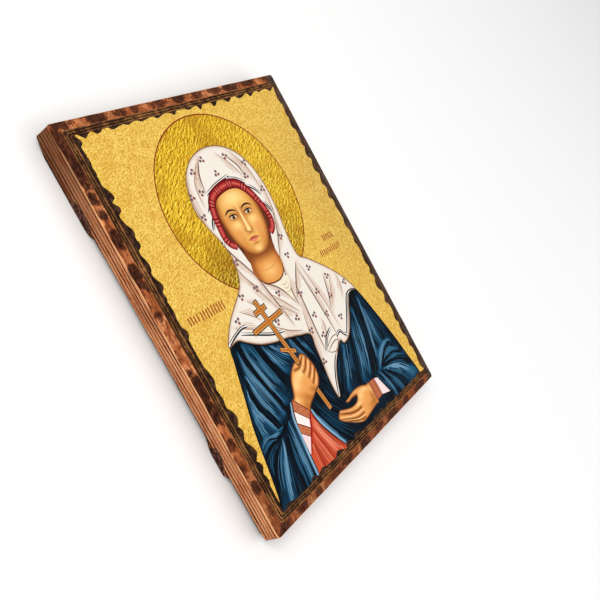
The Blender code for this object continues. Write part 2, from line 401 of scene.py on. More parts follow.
class BoardRings:
    """The board's fine skin: rings of points round the rim, with the masks of its finish."""

    MASKS = ("burn", "wear", "bark", "chip", "band", "furrow", "side", "under", "across")

    def __init__(self, step):
        self.places = rim_places(step)
        self.tree = solid_tree("board")
        self.torn = torn_points(self.places)
        self.burns = {side: burns_on(side) for side in SIDES}
        self.rings = []
        self.masks = {name: [] for name in self.MASKS}
        self.low_edge = [self.back_level(*rim_point(place, ARRIS_INSET)) for place in self.places]
        self.top_edge = [self.front_level(*rim_point(place, ARRIS_INSET)) for place in self.places]
        self.barky = [self.bark_at(place, low) for place, low in zip(self.places, self.low_edge)]

    def bark_at(self, place, low_edge):
        """How much bark is left below a place on the rim."""
        kept = float(smooth(low_edge, 3.2, 1.4))
        if place[0] != "left":
            return kept
        y = rim_point(place, 0).y
        shares = [(2 * y - low - high) / (high - low) for low, high in LEFT_BARK]
        return kept * max(math.sqrt(max(0.0, 1 - share * share)) for share in shares)

    def front_level(self, x, y):
        """The level of the solid's front at a place."""
        hit = cast(self.tree, (x, y, RAY_START), (0, 0, -1))
        return hit.z if hit else 0.0

    def back_level(self, x, y):
        """The level of the solid's back at a place."""
        hit = cast(self.tree, (x, y, -RAY_START), (0, 0, 1))
        return hit.z if hit else 0.0

    def add(self, points, **masks):
        """One ring of points; a mask is a number, or a list with one for each point."""
        self.rings.append(points)
        for name in self.MASKS:
            value = masks.get(name, 0.0)
            self.masks[name].append(value if isinstance(value, list) else [value] * len(points))

    def under_sheet(self):
        """The flat front under the sheet, just inside the torn edge."""
        points = []
        for place, torn in zip(self.places, self.torn):
            ledge = rim_point(place, LEDGE_INSET)
            spot = torn + (torn - ledge).normalized() * 2.0
            points.append((*spot, BOARD_HIGH.z))
        self.add(points)

    def chipped_ledge(self):
        """From the torn edge over the chips to the first furrow."""
        for row in range(LEDGE_ROWS):
            share = row / LEDGE_ROWS
            points, chip = [], []
            for place, torn in zip(self.places, self.torn):
                ledge = rim_point(place, LEDGE_INSET)
                x, y = torn.lerp(ledge, share)
                level = self.front_level(x, y)
                depth = smooth((BOARD_HIGH.z - level) / 0.5)
                level += depth * (0.34 * speckle(x, y, 0, 3.4, 1.7) + 0.16 * speckle(x, y, 0, 1.1, 5.2))
                points.append((x, y, min(level, BOARD_HIGH.z)))
                reach = (ledge - torn).length
                chip.append(float(smooth((1 - share) * reach, 0.1, 1.4)))
            self.add(points, chip=chip, band=1.0)

    def front_margin(self):
        """The furrows and the hewn bevel, out to the arris."""
        for inset in MARGIN_INSETS:
            points, burn, furrow, wear = [], [], [], []
            band = float(smooth(inset, BEVEL_WIDTH - 0.7, BEVEL_WIDTH + 0.3))
            free = band * float(smooth(inset, LEDGE_INSET + 0.1, LEDGE_INSET - 0.6))
            for side, share in self.places:
                x, y = rim_point((side, share), inset)
                meander = 0.55 * speckle(x, y, 0, 12, 2.2) + 0.3 * speckle(x, y, 0, 4.6, 6.8)
                from_x, from_y = rim_point((side, share), inset + free * meander)
                level = self.front_level(from_x, from_y)
                level -= band * (0.14 * speckle(x, y, 0, 2.4, 4.6) + 0.07 * speckle(x, y, 0, 0.9, 7.2))
                ring = growth(x, y, level) % 1.0
                fibre = 0.08 * math.sin(2 * math.pi * ring) + 0.16 * speckle(x, y, 0, 3.4, 9.3)
                scar = speckle(x, y, 0, 7.5, 6.1)
                calm = float(smooth(inset, 0.2, 1.2))
                level += (1 - band) * (fibre + 0.34 * min(scar + 0.1, 0)) * calm
                points.append((x, y, level))
                burn.append(burn_at(self.burns[side], side, x, y, inset / BEVEL_WIDTH) * (1 - band))
                deep = (self.ridge_level(inset) - level) / FURROW_DEPTH
                furrow.append(band * float(smooth(deep, 0.1, 0.9)))
                worn = min(max(0.7 + 0.8 * speckle(x, y, 0, 15, 7.7), 0.15), 1.0)
                wear.append(float(smooth(inset, 0.8, 0.15)) * worn)
            self.add(points, burn=burn, band=band, furrow=furrow, wear=wear, across=inset / BEVEL_WIDTH)

    def ridge_level(self, inset):
        """The level of the furrows' ridges at an inset."""
        share = (inset - BEVEL_WIDTH) / FURROW_BAND
        return BOARD_HIGH.z - 1.5 + 0.4 * share

    def side_faces(self):
        """The straight sides, with raised late wood and bark on the lower edge."""
        for row in range(SIDE_ROWS):
            share = (row + 0.35) / (SIDE_ROWS - 0.3)
            points, bark, wear = [], [], []
            for place, low, top, kept in zip(self.places, self.low_edge, self.top_edge, self.barky):
                level = top + (low - top) * share
                x, y = rim_point(place, 0.0)
                top_of_bark = 1.0 + 8.2 * kept + 1.3 * speckle(x, y, 0, 9, 1.1)
                rough = min(1.6 * kept, 1.0) * float(smooth(level, top_of_bark, top_of_bark - 1.6))
                ring = growth(x, y, level) % 1.0
                if place[0] in ("left", "right"):
                    cut = 0.26 * (0.5 - 0.5 * math.sin(2 * math.pi * ring))
                    cut += 0.10 * (1 + speckle(x, y / 9, level, 1.1, 3.3))
                else:
                    cut = 0.12 * (0.5 - 0.5 * math.sin(2 * math.pi * ring))
                    cut += 0.14 * (1 + speckle(x / 2.5, y, level / 5, 1.4, 5.7))
                cut = cut * (1 - rough) + rough * (0.75 + 0.75 * speckle(x, y, level, 4.2, 2.8))
                cut += rough * 0.25 * speckle(x, y, level, 1.5, 6.6)
                spot = rim_point(place, max(cut, 0.0) * float(smooth(share, 0.0, 0.06)))
                points.append((*spot, level))
                bark.append(rough)
                wear.append(float(smooth(share, 0.05, 0.0)) * 0.6)
            self.add(points, side=1.0, bark=bark, wear=wear)

    def back_edge(self):
        """The rough chamfer round the back."""
        for inset in BACK_INSETS:
            points, bark = [], []
            for place, kept in zip(self.places, self.barky):
                x, y = rim_point(place, inset)
                level = self.back_level(x, y)
                rise = 0.45 * (1 + speckle(x, y, level, 3.2, 4.4)) * float(smooth(level, 0.2, 1.5))
                points.append((x, y, level + rise))
                bark.append(kept)
            self.add(points, side=0.6, under=0.7, bark=bark)

    def mesh(self, name):
        """One closed mesh of the rings, the flat front and the sawn back."""
        count = len(self.places)
        vertices = [point for ring in self.rings for point in ring]
        faces = []
        for row in range(len(self.rings) - 1):
            for n in range(count):
                after = (n + 1) % count
                upper, lower = row * count, (row + 1) * count
                faces.append((upper + after, upper + n, lower + n, lower + after))
        faces.append(tuple(range(count)))
        masks = {key: [value for ring in rows for value in ring] for key, rows in self.masks.items()}
        back_start = len(vertices) - count
        extra, back_faces = sawn_back(self.rings[-1], back_start, len(vertices))
        vertices += extra
        faces += back_faces
        for key in self.MASKS:
            masks[key] += [1.0 if key == "under" else 0.0] * len(extra)
        mesh = bpy.data.meshes.new(name)
        mesh.from_pydata([Vector(point) * 0.001 for point in vertices], [], faces)
        for key, values in masks.items():
            mesh.attributes.new(key, "FLOAT", "POINT").data.foreach_set("value", values)
        mesh.shade_smooth()
        mesh.set_sharp_from_angle(angle=math.radians(50))
        return mesh


def sawn_back(ring, ring_start, next_index):
    """The back inside its last ring: new points on a lattice and the faces that join them."""
    outline = [Vector(point[:2]) for point in ring]
    low_x = min(point.x for point in outline)
    low_y = min(point.y for point in outline)
    inner = []
    for column in range(1, int(-2 * low_x / BACK_PITCH)):
        for row in range(1, int(-2 * low_y / BACK_PITCH)):
            inner.append(Vector((low_x + column * BACK_PITCH, low_y + row * BACK_PITCH)))
    joined = geometry.delaunay_2d_cdt(outline + inner, [], [list(range(len(outline)))], 1, 1e-5, True)
    points, faces, sources = joined[0], joined[2], joined[3]
    extra, index = [], {}
    for number, source in enumerate(sources):
        if source and source[0] < len(outline):
            index[number] = ring_start + source[0]
            continue
        index[number] = next_index + len(extra)
        x, y = points[number]
        saw = 0.5 + 0.5 * math.sin(y / 2.9 + 0.8 * speckle(x, y, 0, 60, 1.0))
        lift = 0.12 * saw + 0.10 * (1 + speckle(x, y / 6, 0, 9.0, 2.0))
        extra.append((x, y, lift))
    wound = [tuple(index[n] for n in reversed(face)) for face in faces]
    return extra, wound


class PineFinish(Finish):
    """Pine with dark late wood, a burnt and worn front edge, bark and a sawn back."""

    def __init__(self, settings):
        super().__init__("burnt_pine", Specular_IOR_Level=0.04)
        self.pale = in_255(settings.wood_pale)
        self.orange = in_255(settings.wood_orange)
        self.spot = self.place()
        self.x, self.y, self.z = self.parts(self.spot)
        self.fibre = self.grain(self.spot, (0.5, 16, 0.5), 3, 0.65)
        self.streak = self.grain(self.spot, (1.0, 9.0, 1.0), 3, 0.7)
        self.rough_edge = self.grain(self.spot, (1.5, 3.2, 1.5), 3, 0.7)
        self.mottle = self.grain(self.spot, (2.2, 5.0, 2.2), 4, 0.75)
        self.blotch = self.grain(self.spot, (8, 14, 8), 3, 0.65)
        self.patch = self.grain(self.spot, (16, 46, 9), 3)
        self.side = self.mask("side")
        self.under = self.mask("under")
        self.late, self.fresh, self.fine_late, self.fine_fresh = self.growth_rings()
        # Darker towards the top: partly stain and partly painted shadow.
        self.stain_and_shadow = self.step(self.y, 40.0, 150.0) * 0.8 + self.step(self.patch, 0.58, 0.74) * 0.25

    def growth_rings(self):
        """Late wood and fresh wood, then the finer lines of both."""
        out_x, out_z = from_pith(self.x, self.y, self.z, Value.sine)
        blur = self.grain(self.spot, (6, 60, 6), 3) * 0.35
        count = (out_x * out_x + out_z * out_z).root() / RING_PITCH + blur
        ring = count.fraction()
        year = self.grain(self.joined(count, self.y / 80, 3.7), (1.4, 1.0, 1.0), 1)
        good_year = self.step(year, 0.38, 0.6)
        late = self.step(ring, 0.5, 0.72) * self.step(ring, 0.99, 0.93) * (0.45 + good_year * 0.55)
        fresh = self.step(ring, 0.32, 0.18) * self.step(ring, 0.0, 0.03)
        inner = (count * 3.0 + blur * 4.0).fraction()
        fine_late = self.step(inner, 0.5, 0.7) * self.step(inner, 1.0, 0.88)
        fine_fresh = self.step(inner, 0.3, 0.15) * self.step(inner, 0.0, 0.05)
        return late, fresh, fine_late, fine_fresh

    def straight_sides(self):
        """Planed pine, pale between the dark lines of late wood."""
        pale = self.mix(self.pale, self.orange, self.step(self.patch, 0.35, 0.66))
        broad = self.fresh * self.step(self.streak, 0.34, 0.5)
        fine = self.fine_fresh * self.step(self.streak, 0.5, 0.62)
        pale = self.mix(pale, (252, 204, 158), (broad + fine * 0.7).at_most(1.0))
        dark = self.mix((66, 21, 8), (36, 11, 5), self.step(self.patch, 0.4, 0.7))
        streaks = self.step(self.streak, 0.55, 0.7) * 0.4
        lines = self.late + self.fine_late * (1 - self.late) * 0.55 + streaks
        return self.mix(pale, dark, lines.at_most(0.97))

    def hewn_front(self):
        """The bevel's brown wood, darker beside the arris and towards the foot."""
        front = self.mix((176, 98, 54), (226, 148, 96), self.step(self.blotch, 0.46, 0.64))
        streaks = self.late * 0.25 + self.step(self.streak, 0.44, 0.68) * 0.8
        front = self.mix(front, (118, 58, 30), streaks.at_most(0.9))
        front = self.mix(front, (72, 30, 16), self.step(self.mottle, 0.5, 0.64) * 0.75)
        front = self.mix(front, (112, 56, 32), self.step(self.blotch, 0.46, 0.3) * 0.6)
        across = self.mask("across")
        beside_arris = self.step(across, 0.05, 0.1) * self.step(across, 0.26, 0.14)
        front = self.mix(front, (54, 24, 14), beside_arris * self.step(self.blotch, 0.58, 0.46) * 0.75)
        return self.mix(front, (84, 40, 22), self.step(self.y, -92.0, -108.0) * 0.4)

    def stained_and_shaded(self, base):
        """The sides darker towards the top, partly stain and partly painted shadow, and darker along the
        lower edge in painted shade.
        """
        # Painted shade along the sides' lower edge.
        low_edge = self.step(self.z + (self.rough_edge - 0.5) * 6, 6.4, 3.6) * 0.75
        share = (self.stain_and_shadow + low_edge).at_most(0.9) * self.side
        return self.mix(base, self.tint(base, (112, 98, 90)), share)

    def scorched(self, base):
        """The base with its burnt patches, and how burnt each place is."""
        burn = self.mask("burn")
        scorch = burn + (self.rough_edge - 0.5) * 1.1 + (self.mottle - 0.5) * 0.9
        scorch = scorch + (self.streak - 0.5) * 0.5
        soot = self.mix((32, 14, 9), (106, 58, 38), self.step(self.mottle, 0.44, 0.64) * 0.8)
        soot = self.mix(soot, (20, 9, 7), self.step(self.streak, 0.5, 0.66) * 0.8)
        brown = self.step(scorch, 0.1, 0.55) * 0.7 * self.step(burn, 0.0, 0.2)
        base = self.mix(base, (84, 38, 22), brown)
        burnt = self.step(scorch, 0.42, 0.8)
        return self.mix(base, soot, burnt * 0.92), burnt

    def furrowed(self, base):
        """The band of furrows: olive brown ridges and dark grooves."""
        wander = (self.rough_edge - 0.5) * 1.2 + (self.blotch - 0.5) * 1.1 + (self.streak - 0.5) * 0.6
        groove = self.step(self.mask("furrow") * 0.8 + wander, 0.2, 0.72)
        ridge = self.mix((134, 92, 52), (90, 56, 32), self.step(self.blotch, 0.42, 0.6))
        ridge = self.mix(ridge, (172, 124, 76), self.step(self.mottle, 0.52, 0.66) * 0.5)
        channel = self.mix(ridge, (34, 19, 12), groove * 0.94)
        patch = self.grain(self.spot, (7, 22, 7), 3, 0.6)
        channel = self.mix(channel, (52, 28, 17), self.step(patch, 0.52, 0.66) * 0.65)
        bare = self.step(patch, 0.46, 0.34) * self.step(groove, 0.7, 0.2)
        channel = self.mix(channel, (184, 118, 70), bare * 0.6)
        band = self.step(self.mask("band") + (self.rough_edge - 0.5) * 0.9, 0.3, 0.7)
        return self.mix(base, channel, band)

    def shaded_right_margin(self, base):
        """The right margin, darkened grey in painted shade."""
        # Painted shade: the right margin is turned away from the light.
        right_shade = self.mix((50, 36, 30), (104, 86, 74), self.step(self.streak, 0.42, 0.66))
        right_shade = self.mix(right_shade, (30, 19, 15), self.step(self.blotch, 0.46, 0.62) * 0.7)
        ledge = HALF_WIDTH - LEDGE_INSET
        return self.mix(base, right_shade, self.step(self.x, ledge, ledge + 2.0) * (1 - self.side) * 0.9)

    def with_bark(self, base):
        """Lumps of bark, and the rough chamfer below them."""
        shag = self.grain(self.spot, (2.6, 3.6, 2.6), 4, 0.7)
        rind = self.mix((56, 34, 28), (124, 84, 68), self.step(shag, 0.44, 0.66))
        base = self.mix(base, rind, self.step(self.mask("bark") + (shag - 0.5) * 0.5, 0.25, 0.6))
        chamfer = self.mix((58, 30, 18), (104, 62, 40), self.step(self.fibre, 0.4, 0.7))
        share = self.step(self.under, 0.1, 0.6) * self.step(self.under, 0.99, 0.8)
        return self.mix(base, chamfer, share)

    def sawn(self, base):
        """The pale sawn back with its growth rings."""
        rings = self.late * 0.6 + self.step(self.fibre, 0.5, 0.8) * 0.3
        back = self.mix((206, 158, 104), (158, 104, 60), rings)
        back = self.mix(back, (120, 78, 46), self.step(self.patch, 0.55, 0.75) * 0.35)
        return self.mix(base, back, self.step(self.under, 0.8, 0.95))

    def rubbed_arris(self, base):
        """The base rubbed pale along its arris, and how much."""
        wear = self.mask("wear") + (self.fibre - 0.5) * 0.5
        rubbed = self.step(wear, 0.3, 0.6) * (1 - self.stain_and_shadow * 0.8)
        return self.mix(base, (246, 182, 126), rubbed * 0.9), rubbed

    def chipped(self, base):
        """The base with dark chips along the torn edge, partly stain and partly painted shade under the
        sheet's edge, and where they are.
        """
        # Dark stain in the chips, with painted shade under the sheet's edge.
        chip_stain_and_shade = self.mix((36, 22, 16), (88, 60, 43), self.step(self.mottle, 0.46, 0.66))
        chips = self.step(self.mask("chip") + (self.rough_edge - 0.5) * 0.35, 0.12, 0.5)
        return self.mix(base, chip_stain_and_shade, chips), chips

    def dress(self):
        """Lays the wood's colours over one another and gives its gloss and relief."""
        base = self.stained_and_shaded(self.mix(self.hewn_front(), self.straight_sides(), self.side))
        base, burnt = self.scorched(base)
        base = self.sawn(self.with_bark(self.shaded_right_margin(self.furrowed(base))))
        base, rubbed = self.rubbed_arris(base)
        base, chips = self.chipped(base)
        gloss = (0.66 - chips * 0.2 - burnt * 0.1 - rubbed * 0.1).at_least(0.3)
        fleck = self.grain(self.spot, (1.3, 1.6, 1.3), 2)
        saw = (self.y / 1.45 + self.grain(self.spot, (60, 60, 60)) * 1.6).sine()
        saw_marks = saw * self.step(self.under, 0.8, 0.95) * 0.2
        relief = (1 - self.late) * 0.25 + self.fibre * 0.5 + fleck * 0.2 + saw_marks
        self.surface(Base_Color=base, Roughness=gloss, Normal=self.bump(relief, 0.35, 0.6))
        return self.material


# Drawing in the flat.

# How many points a fold has once its line is evened out.
FOLD_POINTS = 15


def curve(points, per=6, closed=False):
    """A smooth line through the points."""
    knots = [np.array(point, float) for point in points]
    count = len(knots)
    if count < 3:
        return np.array(knots)
    line = []
    for n in range(count if closed else count - 1):
        if closed:
            a, b, c, d = (knots[(n + shift) % count] for shift in (-1, 0, 1, 2))
        else:
            a, b = knots[max(n - 1, 0)], knots[n]
            c, d = knots[n + 1], knots[min(n + 2, count - 1)]
        for part in range(per):
            t = part / per
            bend = 2 * b + (c - a) * t + (2 * a - 5 * b + 4 * c - d) * t * t
            line.append(0.5 * (bend + (3 * b - a - 3 * c + d) * t**3))
    if not closed:
        line.append(knots[-1])
    return np.array(line)


def closed(line):
    """A line that ends where it starts."""
    return np.vstack([line, line[:1]])


def disc(x, y, radius_x, radius_y=None, count=40, tilt=0.0):
    """An ellipse's outline."""
    angles = np.arange(count) * 2 * math.pi / count
    radius_y = radius_x if radius_y is None else radius_y
    across = radius_x * np.cos(angles)
    up = radius_y * np.sin(angles)
    turn = math.radians(tilt)
    return np.stack(
        [
            x + across * math.cos(turn) - up * math.sin(turn),
            y + across * math.sin(turn) + up * math.cos(turn),
        ],
        axis=1,
    )


def bar(start, end, width):
    """A straight strip's outline."""
    start, end = np.array(start, float), np.array(end, float)
    along = (end - start) / np.linalg.norm(end - start)
    aside = np.array([-along[1], along[0]]) * width / 2
    return np.array([start + aside, start - aside, end - aside, end + aside])


def aside_of(line):
    """The direction across a line, to its left, at each of its points."""
    tangent = np.gradient(line, axis=0)
    tangent /= np.linalg.norm(tangent, axis=1)[:, None] + 1e-9
    return np.stack([-tangent[:, 1], tangent[:, 0]], axis=1)


def strip(line, half):
    """The outline of a strip along a line; half its width may differ from point to point."""
    across = aside_of(line) * np.reshape(half, (-1, 1))
    return np.concatenate([line + across, (line - across)[::-1]])


def brush(points, width, start=0.15, end=0.15, per=5, swell=0.6):
    """The outline of a brush line that is widest in its middle."""
    line = curve(points, per)
    share = np.linspace(0, 1, len(line))
    full = np.where(share < 0.5, start, end)
    return strip(line, width / 2 * (full + (1 - full) * np.sin(share * math.pi) ** swell))


def even_line(points, count=FOLD_POINTS):
    """A smooth line through the points, as points the same distance apart."""
    line = curve(points, 6)
    walked = np.concatenate([[0.0], np.cumsum(np.hypot(*np.diff(line, axis=0).T))])
    at = np.linspace(0, walked[-1], count)
    return np.stack([np.interp(at, walked, line[:, 0]), np.interp(at, walked, line[:, 1])], axis=1)


def measure(spots, line):
    """Distance to a line, with a sign for its side, and how far along it the nearest point is."""
    best = np.full(len(spots), 1e9)
    signed = np.zeros(len(spots))
    along = np.zeros(len(spots))
    walked = 0.0
    for start, end in zip(line[:-1], line[1:]):
        run = end - start
        length = np.linalg.norm(run) + 1e-9
        share = np.clip(((spots - start) @ run) / length**2, 0, 1)
        gap = spots - (start + share[:, None] * run)
        distance = np.hypot(gap[:, 0], gap[:, 1])
        side = np.sign(run[0] * gap[:, 1] - run[1] * gap[:, 0])
        closer = distance < best
        best = np.where(closer, distance, best)
        signed = np.where(closer, distance * side, signed)
        along = np.where(closer, walked + share * length, along)
        walked += length
    return signed, along


def blob(spots, x, y, wide, high=None, tilt=0.0):
    """1 at a place, fading to 0 over about these half sizes."""
    turn = math.radians(tilt)
    across = (spots[:, 0] - x) * math.cos(turn) + (spots[:, 1] - y) * math.sin(turn)
    up = (spots[:, 1] - y) * math.cos(turn) - (spots[:, 0] - x) * math.sin(turn)
    return np.exp(-((across / wide) ** 2) - (up / (high or wide)) ** 2)


def shade(base, top, share):
    """A colour for each spot, top over base by a share."""
    share = np.clip(share, 0, 1)[:, None]
    return base * (1 - share) + np.array(top, float) * share


def plain(spots, colour):
    """The same colour for each spot."""
    return np.tile(np.array(colour, float), (len(spots), 1))


def flat(colour):
    """A way of painting an area in one colour."""
    return lambda spots: plain(spots, colour)


def between(light, steps, tones):
    """The tone of a light from 0 to 1, between tones that lie at these steps."""
    return np.stack([np.interp(light, steps, channel) for channel in zip(*tones)], axis=-1)


def inside(spots, outline):
    """Which spots lie inside an outline."""
    found = np.zeros(len(spots), bool)
    low, high = outline.min(0), outline.max(0)
    near = np.all((spots >= low) & (spots <= high), axis=1)
    if not near.any():
        return found
    x, y = spots[near, 0], spots[near, 1]
    odd = np.zeros(len(x), bool)
    for (ax, ay), (bx, by) in zip(outline, np.roll(outline, -1, axis=0)):
        if ay == by:
            continue
        crosses = (ay > y) != (by > y)
        odd ^= crosses & (x < (bx - ax) * (y - ay) / (by - ay) + ax)
    found[near] = odd
    return found


class Area:
    """A painted area: its outline, its way of painting, and the pitch of points inside it.

    A stroke with a holder shows only inside the area that holds it.
    """

    def __init__(self, outline, paint, pitch=None, holder=None, folds=(), **masks):
        self.outline = np.asarray(outline, float)
        x, y = self.outline[:, 0], self.outline[:, 1]
        if np.sum(x * np.roll(y, -1) - np.roll(x, -1) * y) < 0:
            self.outline = self.outline[::-1]
        self.paint = paint if callable(paint) else flat(paint)
        self.pitch = pitch
        self.holder = holder
        self.masks = masks
        self.folds = folds


def topmost(numbers, areas):
    """The number of the area that shows where the areas of these numbers overlap."""
    there = [areas[number] for number in numbers]
    shown = (n for n in numbers if areas[n].holder is None or areas[n].holder in there)
    return max(shown)


def hatch_areas(folds, tone, spacing, holder, draw, ends=6):
    """Fine strokes between neighbouring folds, as light as the folds on both sides of them.

    A stroke starts and stops within this many points of the folds' ends.
    """
    areas = []
    for (light, knots), (next_light, next_knots) in zip(folds[:-1], folds[1:]):
        near, far = even_line(knots), even_line(next_knots)
        gap = np.linalg.norm(far - near, axis=1).max()
        count = max(1, round(gap / spacing))
        for n in range(count):
            share = (n + draw.uniform(0.15, 0.85)) / count
            line = near * (1 - share) + far * share
            first = draw.randrange(0, ends)
            last = draw.randrange(FOLD_POINTS - ends, FOLD_POINTS)
            apart = draw.uniform(0.15, 0.42) * (1 if n % 2 else -1)
            value = 0.88 * (light * (1 - share) + next_light * share) + apart
            outline = brush(line[first : last + 1], draw.uniform(0.8, 1.6), 0.1, 0.1, per=1)
            areas.append(Area(outline, tone(min(max(value, 0.0), 1.0)), holder=holder))
    return areas


# The figure. Colours are the usual 0 to 255.

HALO_X = -5.5
HALO_Y = 64.8
SKIN_LINE = (92, 44, 20)

ROBE_OUTLINE = (
    (-122, -156), (-118, -140), (-113, -118), (-107, -90), (-99, -64), (-92, -42), (-86, -28),
    (-60, -14), (0, -10), (50, -24), (72, -38), (82, -47), (88, -62), (93, -78), (98, -95),
    (102, -110), (105, -124), (108, -136), (110, -146), (112, -156), (104, -160), (60, -160), (-60, -160),
    (-116, -160),
)
VEIL_OUTLINE = (
    (-8, 113.5), (5, 112.5), (17, 108), (27, 100), (34, 89), (37.5, 76), (38.5, 61), (37, 44),
    (34, 29), (32, 15), (33, 3), (42, -3), (60, -18), (70, -28), (77, -37), (82, -47), (76, -46.5),
    (70, -48), (62, -56), (53, -67), (45, -75), (38, -79), (31, -80), (28, -76), (18, -82),
    (9, -89), (0, -101), (-8, -113), (-9, -100), (-6, -82), (-4, -68), (-2, -57), (-14, -52.5),
    (-28, -48.5), (-42, -46), (-58, -41), (-70, -34), (-78, -29), (-89, -30), (-84, -23),
    (-74, -13.5), (-60, -4), (-49, 4), (-43, 14), (-40, 28), (-43, 42), (-48, 55), (-51, 68),
    (-49, 82), (-43, 95), (-33, 105), (-21, 111),
)
VEIL_FOOT = VEIL_OUTLINE[15:39]
# A fold darker than the first of these is painted nearly black, and one above the second is lit.
DARK_FOLD = 0.07
LIT_FOLD = 0.55
# Folds of the robe, in groups of neighbours: how light each is, then the line that it follows.
UPPER_SLEEVE = (
    (0.12, ((-86, -32), (-93, -50), (-101, -69), (-108, -86), (-113, -102))),
    (0.3, ((-85, -33), (-91, -52), (-97, -68), (-102, -84), (-105, -98))),
    (0.7, ((-98, -76), (-100, -86), (-100, -93), (-99, -98))),
    (0.85, ((-96, -70), (-95, -80), (-91, -88), (-86, -100))),
    (0.03, ((-93, -66), (-92, -79), (-88.5, -88), (-84, -99))),
    (0.03, ((-90, -57), (-89, -70), (-87, -81), (-82, -94))),
    (0.85, ((-88.5, -55), (-87.5, -67), (-85.5, -79), (-80, -94))),
    (0.5, ((-86, -44), (-85.5, -58), (-83, -72), (-77, -90))),
    (0.85, ((-84, -37), (-83.3, -53), (-79.7, -66.5), (-76, -80), (-72, -93))),
    (0.03, ((-82, -31), (-81.8, -43), (-79.4, -55), (-76, -67), (-72.4, -79), (-69.4, -91))),
    (0.03, ((-79, -33), (-77.5, -49), (-75, -61), (-72, -73), (-68.2, -85))),
    (0.85, ((-77, -34), (-75.4, -49), (-73, -61), (-70.3, -73), (-66.4, -86))),
    (0.3, ((-73.6, -44), (-69.4, -57), (-66.4, -65), (-62.8, -75))),
    (0.7, ((-71.8, -37), (-68.2, -49), (-65, -62), (-61.6, -74))),
    (0.6, ((-67.4, -39), (-64.9, -52), (-61.6, -64), (-58, -76))),
    (0.03, ((-65.8, -39), (-62.8, -52), (-59.2, -64), (-56, -76))),
    (0.03, ((-61, -40.5), (-58.8, -52), (-55.6, -62), (-52, -71))),
    (0.8, ((-59, -42), (-56.8, -49), (-53.8, -57), (-49, -68))),
    (0.4, ((-56, -43), (-50, -52), (-44, -59), (-38, -65))),
    (0.75, ((-50, -45), (-46, -50), (-41, -55), (-36, -59))),
    (0.4, ((-45, -47), (-42, -50), (-39, -52), (-36, -53))),
)
LOWER_SLEEVE = (
    (0.03, ((-67, -95), (-75, -100.5), (-84, -104), (-92, -105))),
    (0.75, ((-89, -103.6), (-95.7, -101), (-100.8, -99.5), (-104.7, -101), (-107.5, -103.5))),
    (0.03, ((-90, -104.6), (-96, -102), (-101, -101.6), (-106, -103.6))),
    (0.6, ((-91, -105), (-97, -103), (-103.5, -103.8), (-109, -106.5))),
    (0.03, ((-88, -106), (-98, -105.3), (-105, -107.5), (-111, -111.5))),
    (0.35, ((-89, -107), (-98, -108.5), (-105, -113), (-110.5, -121))),
    (0.03, ((-88.5, -107.8), (-98, -112), (-106, -119.7), (-111.8, -127.4), (-114, -136))),
    (0.5, ((-88, -108), (-95.7, -114), (-102.8, -122), (-109.2, -134), (-112.5, -145))),
    (0.9, ((-87, -107.5), (-90, -114.5), (-96, -124), (-103, -137), (-108, -150))),
    (0.55, ((-84.5, -107), (-88, -115), (-92, -123), (-98.3, -135), (-103, -149))),
    (0.12, ((-83.5, -107), (-86.5, -116), (-90.5, -127), (-95.5, -140), (-98, -150))),
    (0.3, ((-82.8, -107), (-85.4, -116.5), (-90, -130), (-93.8, -148.7))),
    (0.03, ((-80.5, -108), (-83.5, -117), (-87, -130), (-89.5, -148))),
    (0.6, ((-79, -107.5), (-80.3, -116.5), (-83.5, -130), (-86.5, -150))),
    (0.03, ((-77.5, -106), (-79.2, -117), (-81.3, -130), (-84, -150))),
    (0.65, ((-75.8, -106), (-77.5, -116.5), (-79.2, -130), (-82, -150))),
    (0.85, ((-72.5, -100), (-74, -110.7), (-75.3, -121), (-76.5, -134), (-79, -150))),
    (0.15, ((-70.5, -104), (-71.8, -114), (-72.8, -124), (-74, -136), (-75.5, -150))),
    (0.6, ((-65.5, -98), (-68.5, -110), (-70.3, -124), (-71.3, -138), (-72.5, -152))),
)
CHEST = (
    (0.5, ((-31, -48), (-29, -54), (-27, -60), (-24, -64))),
    (0.7, ((-28.2, -49), (-26, -56), (-22.6, -64.5), (-19, -71))),
    (0.03, ((-25.4, -49), (-22.6, -57.5), (-17.5, -67), (-13.5, -77))),
    (0.03, ((-22.5, -50), (-20, -57.5), (-15.3, -66), (-11.5, -76))),
    (0.6, ((-19.7, -51), (-17, -57.5), (-12.7, -66), (-9.9, -73))),
    (0.2, ((-14, -54), (-11, -62), (-8.5, -72), (-8, -86))),
)
UNDER_CHEST = (
    (0.03, ((-26, -94), (-23, -104), (-17, -114), (-9, -124))),
    (0.25, ((-21, -92), (-18, -103), (-13, -112), (-6, -121))),
    (0.12, ((-17, -88), (-14, -98), (-10, -108), (-4, -117))),
    (0.22, ((-13, -86), (-11, -96), (-8, -106), (-3, -115))),
    (0.03, ((-9, -84), (-9, -95), (-8, -105), (-4, -113))),
)
BELOW_CHEST = (
    (0.75, ((-45, -106), (-41, -117), (-34.5, -130), (-25, -150))),
    (0.03, ((-42, -104), (-36, -119), (-28, -133), (-15, -150))),
    (0.3, ((-37, -102), (-29, -118), (-20, -130), (-4, -146))),
    (0.15, ((-32, -99), (-25, -113), (-16, -124), (-2, -143))),
    (0.03, ((-26, -97), (-20, -110), (-12, -120), (0, -140))),
)
